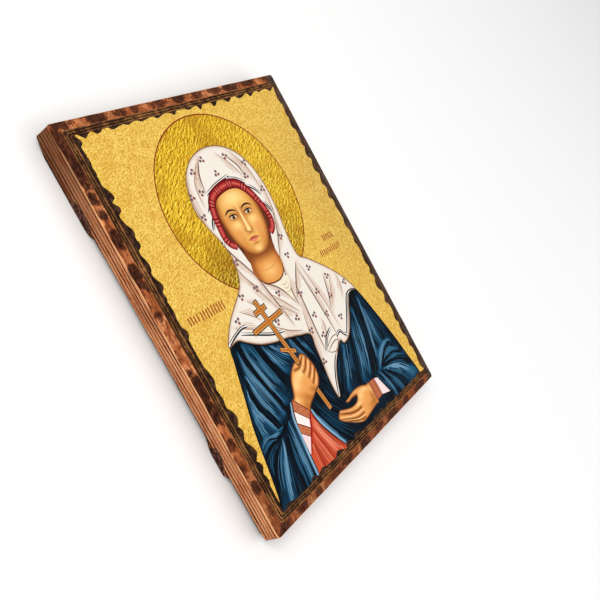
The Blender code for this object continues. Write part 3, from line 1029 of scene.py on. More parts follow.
SHOULDER = (
    (0.1, ((10, -88), (2, -100), (-6, -112))),
    (0.1, ((20, -82), (10, -98), (-1, -116))),
    (0.75, ((30, -80), (20, -94), (8, -112))),
    (0.4, ((36, -80), (28, -96), (16, -114))),
    (0.03, ((47, -73), (40, -86), (34, -97), (26, -114))),
    (0.75, ((51, -74), (45.5, -88), (40, -100), (32, -114))),
    (0.4, ((59, -64), (53.6, -79), (48.7, -93), (39, -114))),
    (0.8, ((63, -62), (59.2, -78), (56, -90), (50, -104), (43, -114))),
    (0.03, ((67.7, -57), (64.2, -72), (59.2, -89), (53, -104), (48, -114))),
    (0.15, ((71, -54), (69, -71), (64.2, -86), (57, -104), (51, -115))),
    (0.03, ((74.4, -51), (73.7, -65), (70.2, -78), (66, -90), (60.3, -104.5), (54, -116))),
    (0.85, ((77.9, -56), (75.4, -72), (71.2, -83.5), (67, -95), (62.4, -107.5))),
    (0.25, ((77, -68), (75, -78), (73, -88), (71, -99))),
    (0.8, ((79, -66), (78.5, -76), (77.5, -87), (77.5, -100))),
    (0.2, ((80, -62), (81.5, -78), (82.8, -89), (84.6, -101))),
    (0.4, ((80, -55), (85.3, -72), (89, -86), (91, -100))),
    (0.2, ((82, -52), (89, -75), (94, -92), (97, -104))),
    (0.03, ((84, -50), (92, -75), (98.5, -96), (103, -114))),
)
RESTING_SLEEVE = (
    (0.9, ((59.6, -117.5), (66.3, -110.5), (74, -106), (81, -103.5), (86, -102.3), (90, -104))),
    (0.03, ((62.8, -117.5), (70, -112.5), (75.5, -108.8), (82, -106), (88, -105))),
    (0.35, ((68, -115), (76, -110.5), (84, -108.5), (94, -109))),
    (0.7, ((70, -114), (77, -112), (83, -111.5), (89.5, -112.5), (95, -115.5))),
    (0.03, ((69, -115.5), (79, -114.5), (87, -115), (96, -119))),
    (0.6, ((70, -117), (80, -117), (89, -118), (100, -123))),
    (0.03, ((67, -119), (78, -119.5), (89, -122.5), (102, -129))),
    (0.9, ((63, -121), (71, -122.3), (80, -125.5), (90, -131), (98, -139))),
    (0.6, ((64, -122), (74, -127), (82, -133), (90, -144))),
    (0.03, ((64, -122), (72, -129), (78, -137), (82, -150))),
    (0.65, ((62, -123), (68, -131), (73, -141), (76, -153))),
    (0.03, ((60, -122), (64, -132), (67, -142), (69, -153))),
    (0.75, ((55, -120), (60, -131), (62, -142), (63, -153))),
    (0.1, ((46, -118), (51, -127), (55, -138), (57, -153))),
)
ROBE_FOLDS = (
    UPPER_SLEEVE, LOWER_SLEEVE, CHEST, UNDER_CHEST, BELOW_CHEST, SHOULDER, RESTING_SLEEVE,
)
# Folds of the veil: how strong each is, the side that its shade lies on, then its line. Seen
# along the line, 1 is the left side and -1 the right one.
VEIL_FOLDS = (
    (0.9, -1, ((-19, 108), (-27, 96), (-30, 87), (-31, 80))),
    (0.6, 1, ((-24, 104), (-35, 92), (-39, 82), (-40, 70))),
    (0.5, 1, ((-41, 96), (-48, 82), (-49, 65), (-47, 50))),
    (0.9, 1, ((10, 103), (19, 91), (21, 79))),
    (0.7, -1, ((17, 105), (27, 91), (31, 76), (31, 64))),
    (0.5, -1, ((1, 107), (10, 97), (17, 86), (18, 80))),
    (0.6, -1, ((35, 74), (34, 56), (31, 43), (27, 30))),
    (0.8, 1, ((32, 48), (24, 30), (17, 19), (10, 8))),
    (0.9, -1, ((-45, 48), (-40, 32), (-32, 17), (-27, 7), (-24, -3))),
    (0.6, -1, ((-47, 41), (-43, 24), (-38, 8), (-28, -6))),
    (0.5, 1, ((-50, 54), (-46, 32), (-42, 14))),
    (1.0, -1, ((-27, 10), (-22, -10), (-19, -22), (-14, -43))),
    (0.6, -1, ((-40, 12), (-36, 4), (-28, -12), (-22, -25))),
    (0.9, -1, ((-24, -2), (-12, -9), (-4, -18), (2, -30))),
    (0.6, -1, ((-22, -12), (-10, -25), (0, -37))),
    (0.5, -1, ((-20, -22), (-12, -30), (-3, -38))),
    (0.5, 1, ((-62, -12), (-52, -19), (-45, -26))),
    (0.4, 1, ((-50, -7), (-44, -13), (-38, -20))),
    (0.5, 1, ((-76, -20), (-60, -27), (-48, -34))),
    (0.7, -1, ((-35, -36), (-22, -45), (-8, -51))),
    (0.9, 1, ((10, 5), (5, -10), (3, -25), (4, -34))),
    (0.9, 1, ((26, 0), (15, -13), (5, -27))),
    (0.9, 1, ((23, -5), (25, -25), (27, -50), (28, -70))),
    (0.5, 1, ((28, -3), (31, -20), (35, -45), (36, -66))),
    (1.0, -1, ((12, -14), (10, -30), (7, -55), (5, -76))),
    (0.7, 1, ((4, -36), (1, -45), (-2, -57), (-5, -75), (-8, -95))),
    (0.8, 1, ((50, -22), (44, -38), (38, -50))),
    (0.6, 1, ((58, -24), (50, -36), (42, -49))),
    (0.5, -1, ((66, -26), (66, -36), (60, -48))),
    (0.6, -1, ((20, -52), (19, -60), (14, -67))),
)
VEIL_HEMS = (
    ((-72, -27), (-58, -33), (-42, -40), (-28, -43)),
    ((-88, -30), (-78, -26), (-68, -23.5), (-61, -24.5)),
    ((82, -47.5), (74, -45.5), (66, -47.5), (58, -56), (50, -65), (42, -73), (36, -76.5)),
    ((24, -62), (14, -66.5), (5, -76)),
    ((27, -72), (33, -70), (36, -74), (40, -77)),
    ((16, -82), (8, -88), (-1, -99), (-8, -112)),
    ((-31, 77.5), (-16, 82.5), (3, 86)),
    ((-2, 84), (8, 81.5), (17, 75.5)),
    ((17, 73), (23, 68.5), (28, 62)),
    ((25, 56), (28, 50.5), (31, 44)),
    ((-27, 75), (-33, 71), (-39, 65)),
    ((-37, 61), (-40.5, 57), (-44, 51)),
    ((-41, 41), (-43.5, 35), (-43.5, 29)),
)
SPRIGS = (
    (-17, 105), (10, 102), (-33, 98), (28, 92), (-9, 91), (-35, 81), (-47, 80), (33, 66), (22, 81),
    (-46, 63), (-39, 22), (24, 24), (20, 8), (-52, -3), (-33, -3), (-68, -17), (37, -10),
    (-13, -15), (54, -24), (11, -25), (-30, -34), (32, -31), (72, -37), (-7, -40), (45, -40),
    (14, -46), (29, -51), (1, -55), (44, -60), (-3, -82), (12, -64),
)


def paint_ground(spots, gold):
    """Gold, a little deeper towards the foot and dull at the right."""
    base = plain(spots, gold)
    base = shade(base, (224, 174, 64), 0.6 * smooth(-spots[:, 1], -60, 150))
    return shade(base, (206, 168, 78), 0.7 * blob(spots, 110, 40, 30, 90))


def paint_halo(spots, gold):
    """Deeper gold, dull on the lower left, with painted highlights beside the head."""
    base = plain(spots, gold)
    base = shade(base, (124, 80, 2), 0.9 * blob(spots, -50, 14, 20, 26))
    base = shade(base, (160, 112, 14), 0.7 * blob(spots, 44, 22, 16, 26))
    # Painted highlights on the gold.
    base = shade(base, (246, 206, 70), 0.7 * blob(spots, 50, 84, 22, 40))
    base = shade(base, (246, 204, 66), 0.35 * blob(spots, -62, 84, 18, 40))
    return shade(base, (206, 150, 20), 0.5 * blob(spots, 64, 62, 10, 60))


def robe_tone(light):
    """The robe's blue, from nearly black to the palest highlight."""
    tones = ((0, 4, 12), (0, 22, 38), (14, 66, 96), (116, 158, 186))
    return between(light, (0.0, 0.25, 0.55, 1.0), tones)


def paint_robe(spots):
    """Deep blue, light along some folds and nearly black along others."""
    light = np.zeros(len(spots))
    weight = np.zeros(len(spots))
    for strength, knots in (fold for group in ROBE_FOLDS for fold in group):
        gap = measure(spots, curve(knots, 3))[0]
        pull = 1 / (gap**2 + 0.8) ** 1.9
        light += pull * strength
        weight += pull
    return robe_tone(0.74 * light / weight)


def paint_veil(spots, linen):
    """White linen with warm shade on one side of each fold."""
    colour = plain(spots, linen)
    for strength, side, knots in VEIL_FOLDS:
        gap = measure(spots, curve(knots, 4))[0] * side
        soft = np.where(gap > 0, np.exp(-((gap / 2.6) ** 2)), np.exp(-((gap / 0.8) ** 2)))
        colour = shade(colour, (210, 178, 158), 0.45 * strength * soft)
    rim = measure(spots, closed(curve(VEIL_OUTLINE, 3, True)))[0]
    return shade(colour, (200, 172, 152), 0.7 * np.exp(-((np.abs(rim) / 1.7) ** 2)))


# The face follows the classical canon: thirds from hairline to brow, nose and chin, eyes one
# eye's width apart, and the mouth a third of the way from nose to chin.
FACE_X = -6.6
CHIN_Y = 19.0
HAIR_Y = 80.0
FACE_THIRD = (HAIR_Y - CHIN_Y) / 3
BROW_Y = HAIR_Y - FACE_THIRD
NOSE_Y = BROW_Y - FACE_THIRD
MOUTH_Y = NOSE_Y - FACE_THIRD / 3
FACE_HALF = 24.0
EYE_HALF = FACE_HALF / 5
EYE_GAP = 2 * EYE_HALF
EYE_Y = BROW_Y - 0.27 * FACE_THIRD


def face_outline():
    """The oval of the face, fuller above and gently narrowing to the chin."""
    right = [
        (0.0, HAIR_Y), (0.45, HAIR_Y - 1.5), (0.8, HAIR_Y - 8), (0.97, HAIR_Y - 18),
        (1.0, EYE_Y), (0.96, NOSE_Y + 3), (0.84, MOUTH_Y + 1), (0.6, CHIN_Y + 6.2), (0.3, CHIN_Y + 1),
    ]
    knots = [(FACE_X + share * FACE_HALF, y) for share, y in right]
    knots.append((FACE_X, CHIN_Y))
    knots += [(FACE_X - share * FACE_HALF, y) for share, y in reversed(right[1:])]
    return curve(knots, 5, closed=True)


def paint_face(spots):
    """Warm ochre modelled light on the brow, cheeks, nose and chin and dark towards the sides."""
    rim = np.abs(measure(spots, closed(face_outline()))[0])
    colour = plain(spots, (236, 182, 100))
    colour = shade(colour, (206, 130, 58), 0.85 * np.exp(-((rim / 6.5) ** 2)))
    colour = shade(colour, (140, 76, 32), 0.85 * np.exp(-((rim / 2.6) ** 2)))
    for side in (-1, 1):
        eye = FACE_X + side * EYE_GAP
        colour = shade(colour, (190, 112, 50), 0.8 * blob(spots, eye, EYE_Y + 0.8, 7.4, 4.8))
        colour = shade(colour, (170, 96, 42), 0.65 * blob(spots, FACE_X + side * 3.4, EYE_Y + 1, 2.4, 6))
        colour = shade(colour, (200, 124, 56), 0.55 * blob(spots, FACE_X + side * 3.6, NOSE_Y + 5, 2.0, 8))
        colour = shade(colour, (230, 140, 84), 0.5 * blob(spots, eye + side * 3.4, NOSE_Y + 1, 5.5, 5))
        colour = shade(colour, (252, 216, 140), 0.75 * blob(spots, eye + side * 0.6, NOSE_Y + 8, 5.0, 3.4))
        colour = shade(colour, (244, 200, 126), 0.5 * blob(spots, eye, BROW_Y - 2.2, 4.5, 1.2))
        colour = shade(colour, (206, 132, 62), 0.55 * blob(spots, eye + side * 1.5, MOUTH_Y - 2, 4.0, 8))
    colour = shade(colour, (254, 222, 148), 0.8 * blob(spots, FACE_X, BROW_Y + 9, 11, 6))
    colour = shade(colour, (255, 232, 172), 0.95 * blob(spots, FACE_X, NOSE_Y + 10, 1.15, 10))
    colour = shade(colour, (255, 230, 166), 0.8 * blob(spots, FACE_X, NOSE_Y + 2.3, 1.8, 1.8))
    colour = shade(colour, (180, 100, 44), 0.75 * blob(spots, FACE_X, NOSE_Y - 1.6, 3.6, 1.1))
    colour = shade(colour, (184, 104, 48), 0.75 * blob(spots, FACE_X, MOUTH_Y - 4.2, 4.5, 1.1))
    return shade(colour, (252, 214, 142), 0.8 * blob(spots, FACE_X, CHIN_Y + 4.6, 4.4, 2.8))


def eye_areas(side):
    """One eye with its lids and brow."""
    x = FACE_X + side * EYE_GAP
    y = EYE_Y
    inner = (x - side * EYE_HALF, y - 0.6)
    outer = (x + side * EYE_HALF, y + 0.1)
    upper = [
        inner, (x - side * 2.6, y + 1.2), (x + side * 0.2, y + 1.7), (x + side * 2.9, y + 1.2), outer,
    ]
    lower = [
        outer, (x + side * 2.5, y - 1.3), (x, y - 1.75), (x - side * 2.5, y - 1.4), inner,
    ]
    white = np.concatenate([curve(upper, 4)[:-1], curve(lower, 4)[:-1]])
    lid = [(px, py + 0.3) for px, py in upper]
    crease = [(px, py + 1.7 - 0.12 * abs(px - x)) for px, py in upper[:-1]]
    crease.append((outer[0] + side * 0.8, outer[1] + 0.8))
    brow = [
        (FACE_X + side * 3.6, BROW_Y - 1.3), (x - side * 2.6, BROW_Y + 0.1),
        (x + side * 1.4, BROW_Y + 0.7), (x + side * 5.0, BROW_Y - 0.3), (x + side * 7.8, BROW_Y - 2.3),
    ]
    return [
        Area(brush(brow, 1.7, 0.35, 0.1), (64, 34, 18)),
        Area(brush(crease, 0.5), (128, 68, 30)),
        Area(white, lambda spots: paint_eyeball(spots, x, y), 0.4),
        Area(disc(x, y + 0.05, 1.85, 1.8, 24), (64, 34, 18)),
        Area(disc(x, y - 0.1, 1.35, 1.3, 20), (98, 56, 28)),
        Area(disc(x, y + 0.1, 0.9, count=16), (18, 10, 7)),
        Area(disc(x - 0.6, y + 0.65, 0.3, count=10), (250, 240, 220)),
        Area(brush(lid, 1.15, 0.3, 0.2), (44, 22, 12)),
        Area(brush(lower, 0.45, 0.2, 0.2), (116, 62, 30)),
        Area(brush([(px, py - 1.2) for px, py in lower], 0.35), (172, 100, 48)),
    ]


def paint_eyeball(spots, x, y):
    """The white of an eye, in shade under the lid and at its corners."""
    colour = plain(spots, (228, 206, 170))
    colour = shade(colour, (150, 112, 80), smooth(spots[:, 1], y + 0.4, y + 2.5))
    return shade(colour, (190, 124, 80), smooth(np.abs(spots[:, 0] - x), 2.8, 4.4))


def beside_face(points):
    """Points given from the face's middle line, as places in the picture."""
    return [(FACE_X + x, y) for x, y in points]


def mirrored(points):
    """The points on the other side of the face's middle line."""
    return [(2 * FACE_X - x, y) for x, y in points]


def nose_areas():
    """The nose's sides, wings, tip and nostrils, and the groove below it."""
    bridge = beside_face(
        ((-2.5, EYE_Y + 4.4), (-2.0, EYE_Y), (-1.7, NOSE_Y + 10), (-2.3, NOSE_Y + 3.6))
    )
    half = EYE_HALF * 0.92
    wing = beside_face(
        ((-2.5, NOSE_Y + 3.4), (-half, NOSE_Y + 2.2), (-half - 0.1, NOSE_Y + 0.6), (-2.9, NOSE_Y - 0.2))
    )
    tip = beside_face(
        (
            (-2.2, NOSE_Y + 0.3), (-1.0, NOSE_Y - 0.9), (0, NOSE_Y - 1.15), (1.0, NOSE_Y - 0.9),
            (2.2, NOSE_Y + 0.3),
        )
    )
    areas = [
        Area(brush(bridge, 0.5, 0.2, 0.5), (170, 98, 44)),
        Area(brush(mirrored(bridge), 0.35, 0.1, 0.3), (206, 136, 68)),
        Area(brush(wing, 0.55, 0.2, 0.3), SKIN_LINE),
        Area(brush(mirrored(wing), 0.5, 0.2, 0.3), SKIN_LINE),
        Area(brush(tip, 0.55, 0.1, 0.1), SKIN_LINE),
    ]
    for side in (-1, 1):
        nostril = disc(FACE_X + side * 2.1, NOSE_Y + 0.15, 0.75, 0.32, 12, -20 * side)
        areas.append(Area(nostril, (110, 52, 24)))
    for side in (-1, 1):
        groove = beside_face(((side * 0.6, NOSE_Y - 2.2), (side * 0.7, MOUTH_Y + 2.3)))
        areas.append(Area(brush(groove, 0.4), (206, 134, 70)))
    return areas


def mouth_areas():
    """The closed lips, and the shade below them."""
    wide = EYE_GAP * 0.74
    parting = beside_face(
        (
            (-wide, MOUTH_Y), (-2.6, MOUTH_Y + 0.35), (0, MOUTH_Y - 0.1), (2.6, MOUTH_Y + 0.35),
            (wide, MOUTH_Y),
        )
    )
    upper = beside_face(
        ((wide, MOUTH_Y), (1.5, MOUTH_Y + 1.9), (0, MOUTH_Y + 1.5), (-1.5, MOUTH_Y + 1.9), (-wide, MOUTH_Y))
    )
    lower = beside_face(
        ((wide, MOUTH_Y), (2.6, MOUTH_Y - 1.9), (0, MOUTH_Y - 2.5), (-2.6, MOUTH_Y - 1.9), (-wide, MOUTH_Y))
    )
    shadow = beside_face(((-3.2, MOUTH_Y - 3.6), (0, MOUTH_Y - 4.3), (3.2, MOUTH_Y - 3.6)))
    line = curve(parting, 4)
    return [
        Area(np.concatenate([line, curve(upper, 4)[1:-1]]), (190, 84, 62)),
        Area(np.concatenate([line, curve(lower, 4)[1:-1]]), paint_lip, 0.5),
        Area(brush(parting, 0.42, 0.3, 0.3), (112, 40, 28)),
        Area(brush(shadow, 0.5), (180, 104, 50)),
    ]


def paint_lip(spots):
    """The lower lip, lighter in its middle."""
    shine = blob(spots, FACE_X, MOUTH_Y - 1.1, 2.6, 0.7)
    return shade(plain(spots, (212, 108, 82)), (240, 160, 128), 0.8 * shine)


def paint_neck(spots):
    """The neck in the chin's shade, lighter down its middle."""
    colour = plain(spots, (214, 136, 62))
    away = np.abs(spots[:, 0] - FACE_X)
    colour = shade(colour, (150, 80, 34), 0.9 * smooth(away, 10, 18))
    colour = shade(colour, (244, 190, 116), 0.95 * blob(spots, FACE_X - 1, 4, 11, 8))
    return shade(colour, (122, 62, 26), 0.9 * smooth(spots[:, 1], 11, 21))


def paint_roll(line, half):
    """Crimson cloth, pink along its middle and dark at its edges."""

    def paint(spots):
        gap = np.abs(measure(spots, line)[0]) / half
        colour = plain(spots, (162, 38, 38))
        colour = shade(colour, (216, 116, 100), 0.75 * np.exp(-((gap / 0.3) ** 2)))
        return shade(colour, (98, 10, 16), 0.9 * smooth(gap, 0.5, 1.0))

    return paint


ROLL_LINE = (
    (-29, 32.5), (-34, 36), (-36.5, 42), (-36, 50), (-34.5, 61), (-31, 70), (-24, 76), (-12, 79.5),
    (-1, 80), (8, 77), (15, 70), (20, 60), (23.6, 49), (23.8, 40), (20.5, 34), (15.5, 31),
)


def roll_areas():
    """The padded crimson roll round the face, tied with thread at intervals."""
    count = 97
    line = even_line(ROLL_LINE, count)
    half = 2.6 + 1.4 * np.sin(np.linspace(0, math.pi, count)) ** 3
    across = aside_of(line) * half[:, None]
    outline = strip(line, half)
    areas = [
        Area(brush(closed(outline), 1.0, 1, 1, per=1), (96, 12, 26)),
        Area(outline, paint_roll(line, 3.4), 0.8),
    ]
    for tie in range(7, count - 5, 11):
        for thread in (-2, 0, 2):
            at = tie + thread
            areas.append(Area(bar(line[at] - across[at], line[at] + across[at], 0.9), (92, 10, 14)))
            if thread < 2:
                middle = line[at + 1]
                reach = across[at] * 0.7
                areas.append(Area(bar(middle - reach, middle + reach, 0.5), (222, 108, 94)))
    return areas


def head_areas():
    """The hood's opening, the neck, the face and the padded roll."""
    opening = (
        (-35.5, 46), (-33, 60), (-22, 74), (-8, 78), (6, 76), (18, 62), (22.8, 46), (21, 36),
        (15.6, 31.2), (12, 24), (10.5, 18), (6, 11), (0, 10), (-8, 10), (-16, 10), (-22, 11), (-25.5, 18),
        (-26.8, 25), (-29, 32.3), (-34, 37),
    )
    neck = (
        (-25.5, 24), (-25, 16), (-27, 7), (-22.6, -1), (-16, -5.2), (-3, -6.3), (6, -2), (10.6, 7),
        (10.2, 16), (10.8, 24), (8, 30), (2, 32), (-6, 33), (-14, 33), (-21, 31),
    )
    collar = ((-25.5, 3), (-22.6, -1), (-16, -5.2), (-3, -6.3), (6, -2), (10, 5))
    face = face_outline()
    areas = [
        Area(curve(opening, 4, True), (92, 46, 22)),
        Area(curve(neck, 5, True), paint_neck, 0.8),
        Area(brush(collar, 1.3, 0.5, 0.5), (108, 58, 30)),
        Area(brush([(-20, 9), (-12, 5.5), (-2, 6), (6, 10)], 0.45), (190, 112, 54)),
        Area(face, paint_face, 0.5),
        Area(brush(closed(face), 0.6, 1, 1, per=1), (134, 70, 30)),
    ]
    areas += nose_areas() + mouth_areas() + eye_areas(-1) + eye_areas(1)
    return areas + roll_areas()


class Hand:
    """A painted hand: its outline, soft lights, bright ridges along the fingers and dark creases."""

    def __init__(self, outline, lights, shades, ridges, creases):
        self.line = curve(outline, 4, True)
        self.rim = closed(self.line)
        self.lights = lights
        self.shades = shades
        self.ridges = [curve(knots, 4) for knots in ridges]
        self.creases = [curve(knots, 4) for knots in creases]

    def paint(self, spots):
        """Skin, with its lights, shades, creases and ridges, dark along the rim."""
        rim = np.abs(measure(spots, self.rim)[0])
        colour = plain(spots, (232, 158, 86))
        for light in self.lights:
            colour = shade(colour, (248, 204, 134), 0.9 * blob(spots, *light))
        for dark in self.shades:
            colour = shade(colour, (168, 98, 38), 0.75 * blob(spots, *dark))
        for crease in self.creases:
            gap = measure(spots, crease)[0]
            colour = shade(colour, (150, 78, 26), 0.95 * np.exp(-((gap / 1.25) ** 2)))
        for ridge in self.ridges:
            gap = measure(spots, ridge)[0]
            colour = shade(colour, (254, 206, 146), 0.85 * np.exp(-((gap / 0.75) ** 2)))
        colour = shade(colour, (168, 98, 44), 0.8 * np.exp(-((rim / 1.5) ** 2)))
        return shade(colour, (90, 42, 18), 0.9 * np.exp(-((rim / 0.5) ** 2)))

    def areas(self):
        """The outline, the hand inside it and its creases."""
        found = [
            Area(brush(self.rim, 1.2, 1, 1, per=1), SKIN_LINE),
            Area(self.line, self.paint, 0.65),
        ]
        for crease in self.creases:
            found.append(Area(brush(crease, 0.7, 0.1, 0.3, per=1), (112, 56, 22)))
        return found


RAISED_HAND = Hand(
    (
        (-59, -90.5), (-55, -89), (-52, -84), (-49, -78), (-45, -73), (-40, -69.5), (-35.5, -67.6),
        (-32.5, -68.4), (-29.8, -67), (-27.2, -65.3), (-24, -64.9), (-21.5, -66.8), (-19, -71),
        (-17.4, -76), (-16.9, -81), (-17.3, -85), (-19, -89), (-22, -92.5), (-25.5, -94.7),
        (-29.5, -96), (-35, -98.5), (-40, -100.5), (-44, -103), (-46.5, -105.5), (-53, -99),
    ),
    ((-40, -78, 8, 4.5, 30), (-34, -77.5, 4, 2.6), (-47, -83, 4, 5, 50), (-53, -93, 3, 3)),
    ((-38, -97.5, 9, 3, -35), (-30, -94, 5, 2.4, -25), (-46, -101, 4, 5, -40)),
    (
        ((-40.5, -71.2), (-38.5, -70), (-36.5, -69.2)),
        ((-29.6, -68.2), (-27.6, -66.9), (-25.6, -66.3)),
        ((-33, -75.8), (-29, -73.6), (-25.2, -70.2), (-23, -67.9)),
        ((-30, -81), (-26, -78.6), (-22.2, -75), (-20.2, -72)),
        ((-27, -86.4), (-24, -84), (-21, -80.9), (-18.9, -78.2)),
        ((-25.5, -92), (-22, -89), (-19.3, -85.4)),
    ),
    (
        ((-39.5, -72.6), (-36, -73), (-33, -72.9), (-30.2, -71.3), (-27.4, -69.2), (-24.2, -67.2)),
        ((-31.8, -78.1), (-28, -76.6), (-25, -74), (-22, -71), (-20.3, -69.2)),
        ((-28.4, -83.7), (-24.5, -81.1), (-21, -78), (-18.6, -75.4)),
        ((-27.4, -89.7), (-23.5, -86.6), (-20.5, -83.6), (-17.9, -80.6)),
    ),
)
RESTING_HAND = Hand(
    (
        (35, -121.5), (30, -120.2), (26, -118.6), (20, -116.9), (13, -116.4), (7, -117), (1, -118.2),
        (-3.9, -118.9), (-3.6, -120), (0, -121.5), (4, -121), (9, -121.4), (12, -122.2), (10, -124.6),
        (6, -126), (0, -126), (-5, -124.8), (-11, -122.7), (-16, -121.2), (-17.8, -122.4),
        (-20.6, -124.6), (-21.2, -126.6), (-18.9, -129.6), (-15, -132.3), (-8, -136.6), (-2, -140),
        (4, -142.2), (10, -142.4), (20, -140.9), (30, -139.4), (35, -138.4),
    ),
    ((16, -124, 5, 3.4), (24, -121.5, 6, 2, -15), (10, -128.5, 5, 1.6), (33, -127, 2, 5)),
    ((29, -136, 8, 3, 5), (31, -131, 3, 4)),
    (
        ((-2.6, -119.5), (3, -119), (9, -117.9), (15, -117.8)),
        ((-16.6, -122.4), (-10, -125), (-3, -127), (4, -127.8), (10, -127.2)),
        ((-19.6, -126), (-14, -128.6), (-8, -131), (-2, -132.9), (5, -133.9), (12, -134)),
        ((-17.6, -129.7), (-12, -132.1), (-5, -135.1), (1, -137.4), (6, -138.4), (10, -138.6)),
        ((-8, -136.2), (-2, -139), (4, -141.2)),
    ),
    (
        ((1, -121), (5, -120.6), (9, -120.8), (12.5, -121.4)),
        ((-16, -124.2), (-11, -126.6), (-5, -129.3), (1, -131), (6, -131.7), (10.5, -131.6)),
        ((-17.5, -128.4), (-12, -131), (-6, -134), (0, -136.1), (5, -136.9), (10, -136.8)),
        ((-14, -131.6), (-8, -134.8), (-2, -137.8), (4, -139.9), (9, -140.4)),
    ),
)


def limb_areas():
    """Both hands with their cuffs, and the cross held by one of them."""
    areas = cross_areas(CROSS_BARS[:1]) + RAISED_HAND.areas() + cross_areas(CROSS_BARS[1:])
    return areas + RESTING_HAND.areas() + cuff_areas()


def banded(dark, light):
    """A narrow woven pattern of small squares."""

    def paint(spots):
        check = np.sin(spots[:, 0] * 2.2) * np.sin(spots[:, 1] * 2.2)
        return shade(plain(spots, dark), light, 0.8 * smooth(check, 0.0, 0.6))

    return paint


# The lines across the raised arm between wrist, woven bands and lining.
CUFF_LINES = (
    ((-57.5, -89.5), (-46, -105)),
    ((-62, -97), (-50.5, -110)),
    ((-65, -106), (-54, -116)),
    ((-66.5, -113.5), (-58.5, -121)),
    ((-68.5, -130), (-67.5, -131.5)),
)


def cuff_areas():
    """The woven cuffs and the pale lining at both wrists."""
    woven = banded((176, 92, 58), (218, 148, 104))
    paints = (woven, flat((250, 232, 226)), woven, flat((244, 212, 214)))
    areas = []
    for (a, b), (c, d), paint in zip(CUFF_LINES[:-1], CUFF_LINES[1:], paints):
        areas.append(Area([a, b, d, c], paint, 1.0))
    for start, end in CUFF_LINES[:-1]:
        areas.append(Area(bar(start, end, 0.7), (104, 34, 24)))
    seam = [line[1] for line in CUFF_LINES]
    areas.append(Area(brush(seam, 2.0, 0.5, 0.5), (150, 18, 16)))
    near, far, hem = 34.0, 43.5, 50.5
    foot, top = -137.5, -120.5
    areas += [
        Area([(near, top), (far, top - 0.5), (far, foot + 1), (near, foot)], woven, 1.0),
        Area([(far, top - 0.5), (hem - 2, top - 2), (hem + 5, foot - 2), (far, foot + 1)], (246, 218, 216)),
    ]
    for x in (near, near + 2.2, far - 2.2, far):
        areas.append(Area(bar((x, top), (x + 0.6, foot + 0.5), 0.7), (112, 42, 28)))
    return areas


# The cross: both ends and the width of the shaft's lower part, then of the rest in front of the hand.
CROSS_BARS = (
    ((-31.9, -68), (-23.5, -115.5), 5.2),
    ((-42.0, -10.0), (-31.4, -71.0), 5.4),
    ((-49.0, -19.5), (-33.0, -18.0), 5.2),
    ((-59.5, -31.5), (-19.5, -28.0), 5.2),
    ((-43.0, -52.6), (-26.5, -61.2), 4.6),
)


# The cross's dark line, pale edge and wood: how much shorter and narrower each is, and its colour.
CROSS_LAYERS = (
    (0, 0, (58, 28, 10)),
    (0.9, 1.7, (210, 156, 88)),
    (1.6, 3.1, (186, 104, 36)),
)


def cross_areas(bars):
    """A plain wooden cross, edged with a dark line."""
    areas = []
    for trim, narrow, colour in CROSS_LAYERS:
        for start, end, width in bars:
            a, b = np.array(start), np.array(end)
            back = (b - a) / np.linalg.norm(b - a) * trim
            areas.append(Area(bar(a + back, b - back, width - narrow), colour))
    return areas


def lit_fold_areas(light, line, robe, draw):
    """A light stroke along a fold of the robe, and a shorter one on each side of it."""
    bright = robe_tone(0.15 + 0.85 * light)
    areas = [Area(brush(line, 1.2, 0.1, 0.2, per=1), bright, holder=robe)]
    for side in (-1.5, 1.5):
        beside = line + aside_of(line) * side
        part = beside[draw.randrange(1, 6) : draw.randrange(9, FOLD_POINTS)]
        areas.append(Area(brush(part, 0.8, 0.1, 0.1, per=1), robe_tone(light), holder=robe))
    return areas


def robe_areas(settings):
    """The blue robe in fine strokes, and the red dress at its opening."""
    draw = random.Random("robe")
    folds = [curve(knots, 3) for group in ROBE_FOLDS for _, knots in group]
    robe = Area(curve(ROBE_OUTLINE, 4, True), paint_robe, 1.15, folds=folds, hatch=0.5)
    areas = [robe]
    for group in ROBE_FOLDS:
        areas += hatch_areas(group, robe_tone, 1.4, robe, draw)
        for light, knots in group:
            if light < DARK_FOLD:
                areas.append(Area(brush(knots, 2.0, 0.2, 0.5), robe_tone(0.0), holder=robe))
            elif light > LIT_FOLD:
                areas += lit_fold_areas(light, even_line(knots), robe, draw)
    rim = curve(ROBE_OUTLINE, 4)
    areas.append(Area(brush(rim, 2.6, 1, 1, per=1), robe_tone(0.1), holder=robe))
    areas.append(Area(brush(VEIL_FOOT, 3.4, 1, 1), robe_tone(0.0), holder=robe))
    return areas + dress_areas(robe, draw, settings)


DRESS_OUTLINE = (
    (-59, -90), (-64.4, -101.6), (-66.4, -117), (-69, -132), (-71, -156), (-20, -156), (-28, -145.5),
    (-37.3, -130), (-43.5, -117), (-46, -104.7),
)
DRESS_FOLDS = (
    (0.9, ((-62, -124), (-64, -138), (-66, -156))),
    (0.1, ((-60, -122), (-60, -138), (-60, -156))),
    (0.8, ((-57, -120), (-55, -136), (-52, -156))),
    (0.1, ((-54, -117), (-50, -134), (-45, -154))),
    (0.9, ((-50, -113), (-44, -130), (-36, -150))),
    (0.2, ((-47, -108), (-41, -124), (-30, -146))),
)


def dress_tone(light):
    """The dress's red, from its shade to its light."""
    return between(light, (0.0, 0.5, 1.0), ((146, 32, 16), (204, 80, 44), (246, 168, 138)))


